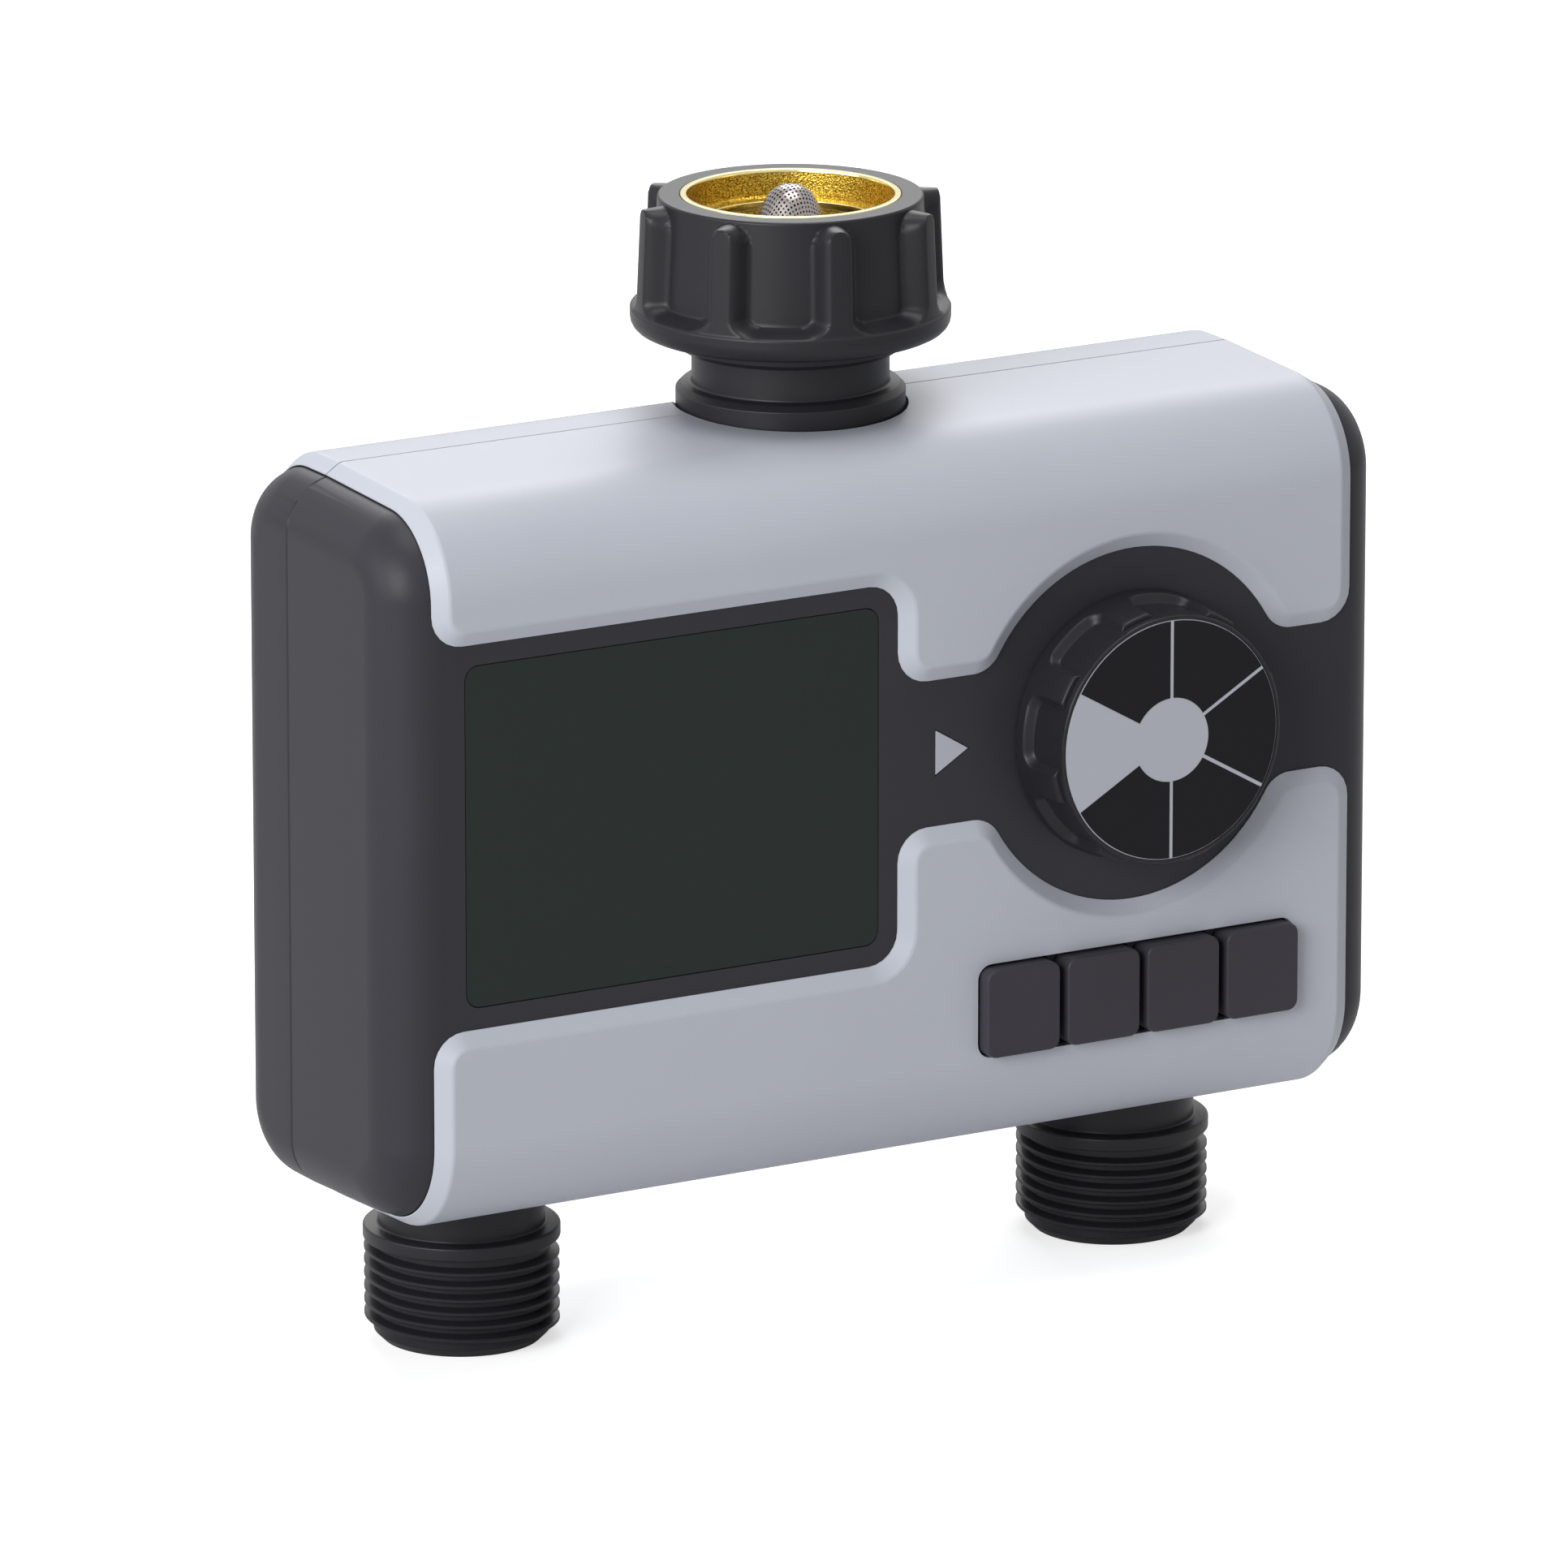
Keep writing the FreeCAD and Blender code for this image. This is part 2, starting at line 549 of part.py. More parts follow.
def cover(label, front, upper):
    """One of the four covers that wrap the casing's top or underside, with a bevelled outline."""
    sign = "-1" if front else "1"
    depth = "front_depth" if front else "back_depth"
    height = "top_height" if upper else "bottom_height"
    around = ("top_front_round" if upper else "bottom_front_round") if front else "back_round"
    band_edge = "window_z + window_tall/2 + band_margin" if upper else "window_z - window_tall/2 - band_margin"
    hem = "dial_z" if front else band_edge
    skin, foot = f"({depth} + cover_proud)", f"({depth} + cover_gap)"
    body = new_body(label)
    profile = outline(sketch_on(body, "YZ_Plane", label + "_profile"), [
        (f"{sign} * seam_gap/2", ledge("0", "cover_proud", front, height)),
        (f"{sign} * {skin}", ledge(skin, "cover_proud", front, height)),
        (f"{sign} * {skin}", hem),
        (f"{sign} * {foot}", hem),
        (f"{sign} * {foot}", ledge(foot, "cover_gap", front, height)),
        (f"{sign} * seam_gap/2", ledge("0", "cover_gap", front, height)),
    ])
    pad(body, profile, label + "_wrap", "2 * cover_half_width", side="Symmetric")
    skin_y = SIZE.front_depth if front else SIZE.back_depth
    edge_of_wrap = max if upper else min
    crest = edge_of_wrap(corner.Z for corner in body.Shape.Vertexes)

    def turns_over(edge):
        spot = middle(edge)
        near_corner = abs(spot.y) > skin_y - NEAR and abs(spot.z - crest) < skin_y/4
        return is_straight(edge, "x") and near_corner

    round_corner(body, label + "_outer_round", turns_over, f"{around} + cover_proud", skin_y + SIZE.cover_proud)
    round_corner(body, label + "_inner_round", turns_over, f"{around} + cover_gap", skin_y + SIZE.cover_gap)
    if front:
        cut_band(body, label, upper)
    filleted(body, label + "_corners", lambda edge: is_straight(edge, "y") and abs(middle(edge).y) > skin_y
             and edge.Length < 2 * SIZE.cover_proud, "cut_corner")
    bevel(body, label + "_bevel", getattr(SIZE, around) + SIZE.cover_proud)
    level = "inlet_boss_low" if upper else "bottom_height - cover_proud - beyond"
    deep = "boss_deep" if upper else "seat_rise"
    holes = sketch_on(body, "XY_Plane", label + "_holes", level)
    if upper:
        circle(holes, "0", "0", "collar_radius + cut_gap")
    else:
        circle(holes, "outlet_x", "0", "outlet_neck + cut_gap")
        circle(holes, "-outlet_x", "0", "outlet_neck + cut_gap")
    pocket(body, holes, label + "_pipe_holes", f"{deep} + cover_proud + beyond", reverse=True)
    if front and not upper:
        slot = sketch_on(body, "XZ_Plane", label + "_slot", "front_depth")
        round_rectangle(slot, "dial_x", "button_z", "3 * button_pitch + button_wide + 2 * button_gap",
                        "button_tall + 2 * button_gap", "button_corner + button_gap")
        pocket(body, slot, label + "_button_slot", "2 * (cover_proud + beyond)", side="Symmetric")
    return body


def round_corner(body, name, test, radius, reach):
    """Round the corner edge of a wrap that lies at a given distance from the pipes' axis."""
    return filleted(body, name, lambda edge: test(edge) and abs(abs(middle(edge).y) - reach) < NEAR, radius)


def cut_band(body, label, upper):
    """Cut the front cover back to the dark band round the window, the neck and the dial."""
    side = "1" if upper else "-1"
    beyond = "cover_half_width + band_margin"
    window_edge = f"window_z + {side} * (window_tall/2 + band_margin)"
    notch_x = "window_x + window_width/2 + band_margin"
    neck_edge = f"dial_z + {side} * neck_half"
    behind = f"dial_z - {side} * band_margin"
    band = outline(sketch_on(body, "XZ_Plane", label + "_band", "front_depth"), [
        (f"-({beyond})", behind), (f"-({beyond})", window_edge), (notch_x, window_edge),
        (notch_x, neck_edge), (beyond, neck_edge), (beyond, behind),
    ])
    pocket(body, band, label + "_band_cut", "2 * (cover_proud + beyond)", side="Symmetric")
    ring = circle(sketch_on(body, "XZ_Plane", label + "_ring", "front_depth"), "dial_x", "dial_z", "ring_radius")
    pocket(body, ring, label + "_ring_cut", "2 * (cover_proud + beyond)", side="Symmetric")


def bevel(body, name, skin_radius):
    """Bevel the outer skin along the cover's outline, but not along the seam at the parting plane."""
    shape = body.Shape
    rolled = next(face for face in shape.Faces if face.Surface.TypeId == "Part::GeomCylinder"
                  and abs(face.Surface.Axis.x) > 1 - NEAR and abs(face.Surface.Radius - skin_radius) < NEAR)
    borders = [edge for edge in rolled.Edges if is_straight(edge, "x")]
    skin = [face for face in shape.Faces
            if any(edge.isSame(border) for edge in face.Edges for border in borders)]
    outline_edges = []
    for index, edge in enumerate(shape.Edges, start=1):
        owners = sum(1 for face in skin if any(edge.isSame(other) for other in face.Edges))
        if owners == 1 and abs(middle(edge).y) > SIZE.seam_gap:
            outline_edges.append(f"Edge{index}")
    feature = body.newObject("PartDesign::Chamfer", name)
    feature.Base = (feature.BaseFeature, outline_edges)
    feature.ChamferType = "Two distances"
    feature.setExpression("Size", bound("bevel_depth"))
    feature.setExpression("Size2", bound("bevel_width"))
    doc.recompute()
    return feature


for cover_label, is_front, is_upper in (("front_upper_cover", True, True), ("front_lower_cover", True, False),
                                        ("rear_upper_cover", False, True), ("rear_lower_cover", False, False)):
    finish(cover(cover_label, is_front, is_upper), cover_label)


# ---------------------------------------------------------------- dark casing

SCREW_SPOTS = [("screw_x", "screw_high"), ("-screw_x", "screw_high"), ("screw_x", "screw_low"),
               ("-screw_x", "screw_low"), ("screw_inner_x", "screw_low"), ("-screw_inner_x", "screw_low")]
STAKE_X = "board_half_width - stake_inset"
BOARD_SPOTS = [(f"-({STAKE_X})", "board_high - stake_inset"), (f"-({STAKE_X})", "board_low + stake_inset"),
               (STAKE_X, "board_high - stake_inset"), (STAKE_X, "board_low + stake_rise")]


def circles(sketch, spots, radius):
    for u, v in spots:
        circle(sketch, u, v, radius)
    return sketch


def half_boss(body, name, x, front, points):
    """Half of a round boss about an upright axis, ending at the parting plane."""
    profile = sketch_on(body, "XZ_Plane", name)
    profile.setExpression(".AttachmentOffset.Base.x", bound(x))
    outline(profile, points)
    return turned(body, profile, name + "_turn", angle=180, reverse=front)


def casing_half(label, front):
    """One hollow half of the casing, open at the parting plane, with its bosses."""
    sign, depth = ("-1", "front_depth") if front else ("1", "back_depth")
    way = "" if front else "-"
    reach = getattr(SIZE, depth)
    body = new_body(label)
    profile = outline(sketch_on(body, "YZ_Plane", label + "_profile"), [
        ("0", "top_height"), (f"{sign} * {depth}", ledge(depth, "0", front, "top_height")),
        (f"{sign} * {depth}", ledge(depth, "0", front, "bottom_height")), ("0", "bottom_height"),
    ])
    pad(body, profile, label + "_block", "2 * half_width", side="Symmetric")
    for name, limit, radius in (("top", max, "top_front_round"), ("bottom", min, "bottom_front_round")):
        crest = limit(corner.Z for corner in body.Shape.Vertexes)
        filleted(body, f"{label}_{name}_round", lambda edge: is_straight(edge, "x")
                 and abs(abs(middle(edge).y) - reach) < NEAR and abs(middle(edge).z - crest) < reach/4,
                 radius if front else "back_round")
    filleted(body, label + "_end_rounds", lambda edge: abs(abs(middle(edge).x) - SIZE.half_width) < NEAR
             and abs(middle(edge).y) > NEAR, "end_round")
    shelled(body, label + "_shell", lambda face: abs(face.CenterOfMass.y) < NEAR)

    half_boss(body, label + "_inlet_boss", "0", front, [
        ("shank_radius", "inlet_boss_low"), ("collar_radius", "inlet_boss_low"), ("collar_radius", "top_height"),
        ("shank_radius", "top_height"),
    ])
    for side, mark in (("", "right"), ("-", "left")):
        half_boss(body, f"{label}_{mark}_boss", side + "outlet_x", front, [
            ("outlet_neck", "bottom_height + wall - fit_gap"),
            ("outlet_neck + cut_gap", "bottom_height + wall - fit_gap"),
            ("seat_radius", "seat_height"), ("outlet_neck", "seat_height"),
        ])
    for name, level, spots, radius, length in (
            ("inlet", "inlet_boss_low - beyond", [("0", "0")], "shank_radius + 2 * fit_gap",
             "boss_deep + 2 * beyond"),
            ("outlets", "bottom_height - beyond", [("outlet_x", "0"), ("-outlet_x", "0")],
             "outlet_neck + 2 * fit_gap", "seat_rise + 2 * beyond")):
        hole = circles(sketch_on(body, "XY_Plane", f"{label}_{name}_hole", level), spots, radius)
        pocket(body, hole, f"{label}_{name}_cut", length, reverse=True)

    bosses = circles(sketch_on(body, "XZ_Plane", label + "_bosses", f"{way}({depth} - wall)"), SCREW_SPOTS,
                     "boss_radius")
    pad(body, bosses, label + "_boss_pads", f"{depth} - wall", reverse=front)
    return body


def triangle(sketch, gap):
    """The pointer's outline, grown by a gap."""
    return outline(sketch, [
        (f"pointer_x - ({gap})", f"dial_z - pointer_tall/2 - 2 * ({gap})"),
        (f"pointer_x + pointer_wide + 2 * ({gap})", "dial_z"),
        (f"pointer_x - ({gap})", f"dial_z + pointer_tall/2 + 2 * ({gap})"),
    ])


def front_housing():
    """Front half, with the openings for window, dial, pointer and buttons, and the board's standoffs."""
    label = "front_housing"
    body = casing_half(label, True)
    holes = circles(sketch_on(body, "XZ_Plane", label + "_screw_holes"), SCREW_SPOTS, "screw_radius + cover_gap")
    pocket(body, holes, label + "_screw_cut", "screw_deep + 2 * cut_gap", reverse=True)
    stands = circles(sketch_on(body, "XZ_Plane", label + "_standoffs", "front_depth - wall"), BOARD_SPOTS,
                     "standoff_radius")
    pad(body, stands, label + "_standoff_pads", "front_depth - wall - board_front", reverse=True)
    stakes = circles(sketch_on(body, "XZ_Plane", label + "_stakes", "board_front"), BOARD_SPOTS, "stake_radius")
    pad(body, stakes, label + "_stake_pads", "board_thick + stake_radius/2", reverse=True)

    rebate = round_rectangle(sketch_on(body, "XZ_Plane", label + "_rebate", "front_depth"),
                             "window_x", "window_z", "window_width + 2 * fit_gap", "window_tall + 2 * fit_gap",
                             "window_corner + fit_gap")
    pocket(body, rebate, label + "_window_rebate", "window_thick")
    view = rectangle(sketch_on(body, "XZ_Plane", label + "_view", "front_depth"), "window_x", "window_z",
                     "window_width - 2 * window_lip", "window_tall - 2 * window_lip")
    pocket(body, view, label + "_window_opening", "wall + beyond")

    pointer = triangle(sketch_on(body, "XZ_Plane", label + "_pointer", "front_depth"), "fit_gap")
    pocket(body, pointer, label + "_pointer_recess", "pointer_thick")

    bush = circle(sketch_on(body, "XZ_Plane", label + "_bush", "front_depth - wall"), "dial_x", "dial_z",
                  "bush_radius")
    pad(body, bush, label + "_bush_pad", "front_depth - wall - board_front - encoder_tall", reverse=True)
    seal_seat = circle(sketch_on(body, "XZ_Plane", label + "_seal_seat", "front_depth"), "dial_x", "dial_z",
                       "shaft_seal + fit_gap")
    pocket(body, seal_seat, label + "_seal_recess", "seal_recess")
    shaft_hole = circle(sketch_on(body, "XZ_Plane", label + "_shaft_hole", "front_depth"), "dial_x", "dial_z",
                        "shaft_radius + running_gap")
    pocket(body, shaft_hole, label + "_shaft_cut", "wall + beyond")

    keys = sketch_on(body, "XZ_Plane", label + "_keys", "front_depth")
    for k in range(4):
        round_rectangle(keys, f"dial_x + ({k} - 1.5) * button_pitch", "button_z", "button_wide + 2 * slide_gap",
                        "button_tall + 2 * slide_gap", "button_corner + slide_gap")
    pocket(body, keys, label + "_key_holes", "wall + beyond")
    return finish(body, label)


def rear_housing():
    """Back half, with the battery bay, the door's recess and the seal's groove."""
    label = "rear_housing"
    body = casing_half(label, False)
    inside = "-(back_depth - wall)"
    tub = rectangle(sketch_on(body, "XZ_Plane", label + "_tub", inside), "0", "bay_z", "2 * (bay_x + bay_wall)",
                    "2 * (bay_half + bay_wall)")
    pad(body, tub, label + "_tub_pad", "back_depth - wall + bay_floor + bay_wall")
    rim = rectangle(sketch_on(body, "XZ_Plane", label + "_rim", inside), "0", "bay_z",
                    "2 * (door_x + slide_gap + bay_wall)", "2 * (door_half + slide_gap + bay_wall)")
    pad(body, rim, label + "_rim_pad", "door_seat + bay_wall")
    seat = round_rectangle(sketch_on(body, "XZ_Plane", label + "_door_seat", "-back_depth"), "0", "bay_z",
                           "2 * (door_x + slide_gap)", "2 * (door_half + slide_gap)", "door_corner + slide_gap")
    pocket(body, seat, label + "_door_recess", "door_seat", reverse=True)
    bay = rectangle(sketch_on(body, "XZ_Plane", label + "_bay", "-back_depth"), "0", "bay_z", "2 * bay_x",
                    "2 * bay_half")
    pocket(body, bay, label + "_bay_cut", "back_depth + bay_floor", reverse=True)

    holes = circles(sketch_on(body, "XZ_Plane", label + "_screw_holes"), SCREW_SPOTS, "screw_radius + slide_gap")
    pocket(body, holes, label + "_screw_cut", "back_depth")
    recesses = circles(sketch_on(body, "XZ_Plane", label + "_heads", "-back_depth"), SCREW_SPOTS,
                       "head_radius + fit_gap")
    pocket(body, recesses, label + "_head_recesses", "head_recess", reverse=True)

    groove = seal_outline(sketch_on(body, "XZ_Plane", label + "_groove"), "cover_gap")
    pocket(body, groove, label + "_seal_groove", "seal_wide")
    return finish(body, label)


def seal_outline(sketch, gap):
    """The cord seal's frame in the casing's parting face, grown by a gap."""
    for inset in (f"seal_inset - ({gap})", f"seal_inset + seal_wide + ({gap})"):
        round_rectangle(sketch, "0", "(top_height + bottom_height)/2", f"2 * (half_width - ({inset}))",
                        f"top_height - bottom_height - 2 * ({inset})", f"end_round - ({inset})")
    return sketch


def housing_seal():
    """Cord between the casing's halves, cut where the pipes pass."""
    body = new_body("seal_frame")
    frame = seal_outline(sketch_on(body, "XZ_Plane", "seal_frame_outline"), "0")
    pad(body, frame, "seal_frame_cord", "seal_wide - cover_gap", reverse=True)
    passes = [rod("seal_inlet_pass", "z", "collar_radius", ("inlet_boss_low", "top_height"), ("0", "0"))]
    for side in ("", "-"):
        passes.append(rod("seal_outlet_pass", "z", "seat_radius", ("0", "seat_height"),
                          (side + "outlet_x", "0")))
    return finish(less("housing_seal", body, passes), "housing_seal")


def housing_screws():
    """The six casing screws, put in from the back."""
    screws = []
    for u, v in SCREW_SPOTS:
        shank = rod("screw_shank", "y", "screw_radius", ("-screw_deep", "back_depth - head_recess"), (u, v))
        head = rod("screw_head", "y", "head_radius",
                   ("back_depth - head_recess", "back_depth - head_recess + head_thick"), (u, v))
        screws.append(joined("screw", [shank, head]))
    return finish(gathered("housing_screws", screws), "housing_screws")


front_housing()
rear_housing()
housing_seal()
housing_screws()


# ---------------------------------------------------------------- display, pointer, board

def lcd_window():
    """Pane that lies flush in the casing's rebate."""
    body = new_body("lcd_window")
    pane = round_rectangle(sketch_on(body, "XZ_Plane", "pane_outline", "front_depth - window_thick"), "window_x",
                           "window_z", "window_width", "window_tall", "window_corner")
    pad(body, pane, "pane", "window_thick")
    return finish(body, "lcd_window")


def lcd_module():
    """Display behind the window, on four legs that stand on the board."""
    front, back = "-(front_depth - wall - cover_gap)", "-(front_depth - wall - cover_gap - module_thick)"
    left, right = "window_x - module_wide/2", "window_x + module_wide/2"
    low, high = "window_z - module_tall/2", "window_z + module_tall/2"
    parts = [block("module_panel", (left, right), (front, back), (low, high))]
    for x in (left, f"{right} - module_leg"):
        for z in (low, f"{high} - module_leg"):
            parts.append(block("module_leg_post", (x, f"{x} + module_leg"), (back, "-board_front"),
                               (z, f"{z} + module_leg")))
    return finish(joined("lcd_module", parts), "lcd_module")


def pointer_inlay():
    """Light triangle let into the casing beside the dial."""
    body = new_body("pointer_inlay")
    shape = triangle(sketch_on(body, "XZ_Plane", "pointer_outline", "front_depth - pointer_thick"), "0")
    pad(body, shape, "pointer_plate", "pointer_thick")
    return finish(body, "pointer_inlay")


def circuit_board():
    """Board on the front half's standoffs, with its chip and its connector."""
    plate = block("board_plate", ("-board_half_width", "board_half_width"),
                  ("-board_front", "board_thick - board_front"), ("board_low", "board_high"))
    drilled = ("-(board_front + beyond)", "board_thick - board_front + beyond")
    holes = [rod("stake_hole", "y", "stake_radius + fit_gap", drilled, spot) for spot in BOARD_SPOTS]
    back = "board_thick - board_front"
    chip = block("board_chip", ("-chip_side/2", "chip_side/2"), (back, f"{back} + chip_thick"),
                 ("board_high - 2 * chip_side", "board_high - chip_side"))
    plug = block("board_connector", ("plug_x", "plug_x + plug_wide"), (back, f"{back} + plug_deep"),
                 ("board_low + plug_tall", "board_low + 2 * plug_tall"))
    return finish(joined("circuit_board", [less("board_drilled", plate, holes), chip, plug]), "circuit_board")


# ---------------------------------------------------------------- ribbed dial and nut

def ribbed(body, label, points, rib, envelope):
    """A turned piece with upright ribs round it, whose outer faces lean as the envelope does."""
    turned(body, outline(sketch_on(body, "XZ_Plane", label + "_section"), points), label + "_core")
    inner, outer, wide, low, high, count = rib
    sketch = arch(sketch_on(body, "XZ_Plane", label + "_rib_outline", inner), wide, low, high)
    first = pad(body, sketch, label + "_rib", f"({outer}) - ({inner})")
    patterned(body, label + "_ribs", first, count)
    trim = outline(sketch_on(body, "XZ_Plane", label + "_envelope"), envelope)
    turned(body, trim, label + "_trim", kind="Groove")
    return body


def stand_off_front(body, turn=0):
    """Lay a piece that is drawn upright along the dial's axis, so that its top faces the front."""
    body.Placement.Rotation = (FreeCAD.Rotation(FreeCAD.Vector(1, 0, 0), 90)
                               * FreeCAD.Rotation(FreeCAD.Vector(0, 0, 1), turn))
    return body


def dial_knob():
    """Hollow dial with a hub for the shaft, a recess for the printed disc and ribs to grip."""
    face = "front_depth + knob_reach"
    foot = "front_depth + knob_lift"
    roof = f"{face} - face_thick - knob_roof"
    body = new_body("dial_knob")
    ribbed(body, "knob", [
        ("0", f"{face} - shaft_cap"), ("shaft_radius + cover_gap", f"{face} - shaft_cap"),
        ("shaft_radius + cover_gap", foot), ("knob_hub", foot), ("knob_hub", roof),
        ("knob_core - knob_wall", roof), ("knob_core - knob_wall", foot), ("knob_radius", foot),
        ("knob_radius", f"{foot} + knob_wall"), ("knob_core", f"{foot} + 1.5 * knob_wall"),
        ("knob_core", face), ("face_radius + cover_gap", face),
        ("face_radius + cover_gap", f"{face} - face_thick"), ("0", f"{face} - face_thick"),
    ], ("knob_core - knob_wall/2", "knob_radius + beyond", "knob_rib_wide", f"{foot} + knob_wall/2",
        f"{face} - face_thick", "knob_ribs"), [
        ("knob_radius", f"{foot} - beyond"), ("knob_radius", foot), ("(knob_core + knob_radius)/2", face),
        ("knob_radius + 2 * beyond", face), ("knob_radius + 2 * beyond", f"{foot} - beyond"),
    ])
    return finish(stand_off_front(body, SIZE.knob_turn), "dial_knob", x="dial_x", z="dial_z")


def ring(label, outer, inner, low, high):
    """A flat ring about its own axis."""
    body = new_body(label)
    turned(body, outline(sketch_on(body, "XZ_Plane", label + "_section"),
                         [(inner, low), (outer, low), (outer, high), (inner, high)]), label + "_ring")
    return body


def dial_parts():
    """Printed disc, shaft, shaft seal and encoder, all on the dial's axis."""
    face = "front_depth + knob_reach"
    disc = rod("dial_face", "y", "face_radius", (f"-({face})", f"face_thick - ({face})"), ("dial_x", "dial_z"))
    finish(disc, "dial_face", x="dial_x", y=f"-({face})", z="dial_z")
    shaft = rod("dial_shaft", "y", "shaft_radius",
                ("0", f"{face} - shaft_cap - cover_gap - board_front - wall/2"), ("0", "0"))
    finish(shaft, "dial_shaft", x="dial_x", y=f"-({face} - shaft_cap - cover_gap)", z="dial_z")
    seal = ring("dial_seal", "shaft_seal", "shaft_radius + slide_gap",
                "front_depth - seal_recess", "front_depth - seal_recess/2")
    finish(stand_off_front(seal), "dial_seal", x="dial_x", z="dial_z")
    front = "-(board_front + encoder_tall)"
    case = block("encoder_case", ("dial_x - encoder_side/2", "dial_x + encoder_side/2"), (front, "-board_front"),
                 ("dial_z - encoder_side/2", "dial_z + encoder_side/2"))
    hole = rod("encoder_hole", "y", "shaft_radius + running_gap",
               (f"{front} - beyond", "-board_front - cover_gap"), ("dial_x", "dial_z"))
    finish(less("dial_encoder", case, [hole]), "dial_encoder")


def button(number):
    """One push button: cap, flange behind the casing and stem."""
    label = f"button_{number}"
    body = new_body(label)
    x = f"dial_x + ({number} - 2.5) * button_pitch"
    back = "front_depth - wall - stop_gap - button_flange"
    stem = "board_front + switch_tall + switch_nub + button_travel + slide_gap"
    post = circle(sketch_on(body, "XZ_Plane", label + "_post", stem), x, "button_z", "button_stem")
    pad(body, post, label + "_stem", f"{back} - ({stem}) + button_flange/2")
    edge = rectangle(sketch_on(body, "XZ_Plane", label + "_edge", back), x, "button_z",
                     "button_wide + 3 * slide_gap", "button_tall + 4 * slide_gap")
    pad(body, edge, label + "_flange", "button_flange")
    cap = round_rectangle(sketch_on(body, "XZ_Plane", label + "_outline", back), x, "button_z", "button_wide",
                          "button_tall", "button_corner")
    pad(body, cap, label + "_cap", f"front_depth + cover_proud + button_proud - ({back})")
    return finish(body, label)


def button_switches():
    """Key switches on the board, one behind each button."""
    keys = []
    for number in range(1, 5):
        x = f"dial_x + ({number} - 2.5) * button_pitch"
        case = block("switch_case", (f"{x} - switch_side/2", f"{x} + switch_side/2"),
                     ("-board_front - switch_tall", "-board_front"),
                     ("button_z - switch_side/2", "button_z + switch_side/2"))
        nub = rod("switch_button", "y", "button_stem", ("-board_front - switch_tall - switch_nub",
                                                        "-board_front - switch_tall"), (x, "button_z"))
        keys.append(joined("key_switch", [case, nub]))
    return finish(gathered("button_switches", keys), "button_switches")


lcd_window()
lcd_module()
pointer_inlay()
circuit_board()
dial_knob()
dial_parts()
for button_number in range(1, 5):
    button(button_number)
button_switches()


# ---------------------------------------------------------------- inlet

def inlet_nut():
    """Swivel nut with ribs round it, a round skirt, and a hub whose lip is under the spigot's flange."""
    body = new_body("inlet_nut")
    skirt_low = "nut_low + nut_hub_tall"
    ribbed(body, "nut", [
        ("neck_radius + running_gap", "nut_low"), ("nut_hub", "nut_low"), ("nut_hub", skirt_low),
        ("nut_skirt", skirt_low), ("nut_skirt", "nut_shoulder - nut_slope"), ("nut_core", "nut_shoulder"),
        ("nut_top_radius", "mouth_height"), ("insert_radius + cover_gap", "mouth_height"),
        ("insert_radius + cover_gap", "nut_low + lip_thick"),
        ("neck_radius + running_gap", "nut_low + lip_thick"),
    ], ("(nut_core + insert_radius)/2", "nut_skirt + beyond", "nut_rib_wide", "nut_shoulder - nut_slope",
        "nut_rib_top", "nut_ribs"), [
        ("nut_rib_low", "nut_shoulder - nut_slope"), ("nut_rib_high", "nut_rib_top"),
        ("nut_rib_high", "mouth_height"), ("nut_skirt + 2 * beyond", "mouth_height"),
        ("nut_skirt + 2 * beyond", "nut_shoulder - nut_slope"),
    ])
    rims = [corner.Z for corner in body.Shape.Vertexes if math.hypot(corner.X, corner.Y) > SIZE.nut_skirt - NEAR]
    filleted(body, "nut_skirt_round", lambda edge: edge.Length > SIZE.nut_skirt
             and edge.BoundBox.XLength > 2 * SIZE.nut_skirt - NEAR
             and abs(edge.BoundBox.ZMin - min(rims)) < NEAR, "nut_round")
    body.Placement.Rotation = FreeCAD.Rotation(FreeCAD.Vector(0, 0, 1), SIZE.nut_turn)
    return finish(body, "inlet_nut")


def nut_insert():
    """Brass thread insert in the nut, with a lead-in at its mouth."""
    body = new_body("nut_insert")
    top = "mouth_height + insert_proud"
    turned(body, outline(sketch_on(body, "XZ_Plane", "insert_section"), [
        ("thread_minor", "screen_seat + cut_gap"), ("insert_radius", "screen_seat + cut_gap"),
        ("insert_radius", top), ("mouth_radius", top), ("mouth_radius", f"{top} - mouth_deep"),
        ("thread_minor", f"{top} - mouth_deep - 0.5 * (mouth_radius - thread_minor)"),
    ]), "insert_turned")
    return finish(body, "nut_insert")


def inlet_spigot():
    """Inlet pipe: swivel flange and neck for the nut, collar on the casing, shank and tail inside it."""
    body = new_body("inlet_spigot")
    shoulder = "nut_low + lip_thick + slide_gap"
    turned(body, outline(sketch_on(body, "XZ_Plane", "spigot_section"), [
        ("inlet_bore", "tail_low"), ("tail_radius", "tail_low"), ("tail_radius", "shank_low"),
        ("shank_radius", "shank_low"), ("shank_radius", "top_height + cover_gap"),
        ("collar_radius", "top_height + cover_gap"), ("collar_radius", "collar_top - collar_chamfer"),
        ("collar_radius - collar_chamfer", "collar_top"), ("neck_radius", "collar_top"),
        ("neck_radius", shoulder), ("swivel_flange", shoulder), ("swivel_flange", "washer_low"),
        ("inlet_bore", "washer_low"),
    ]), "spigot_turned")
    return finish(body, "inlet_spigot")


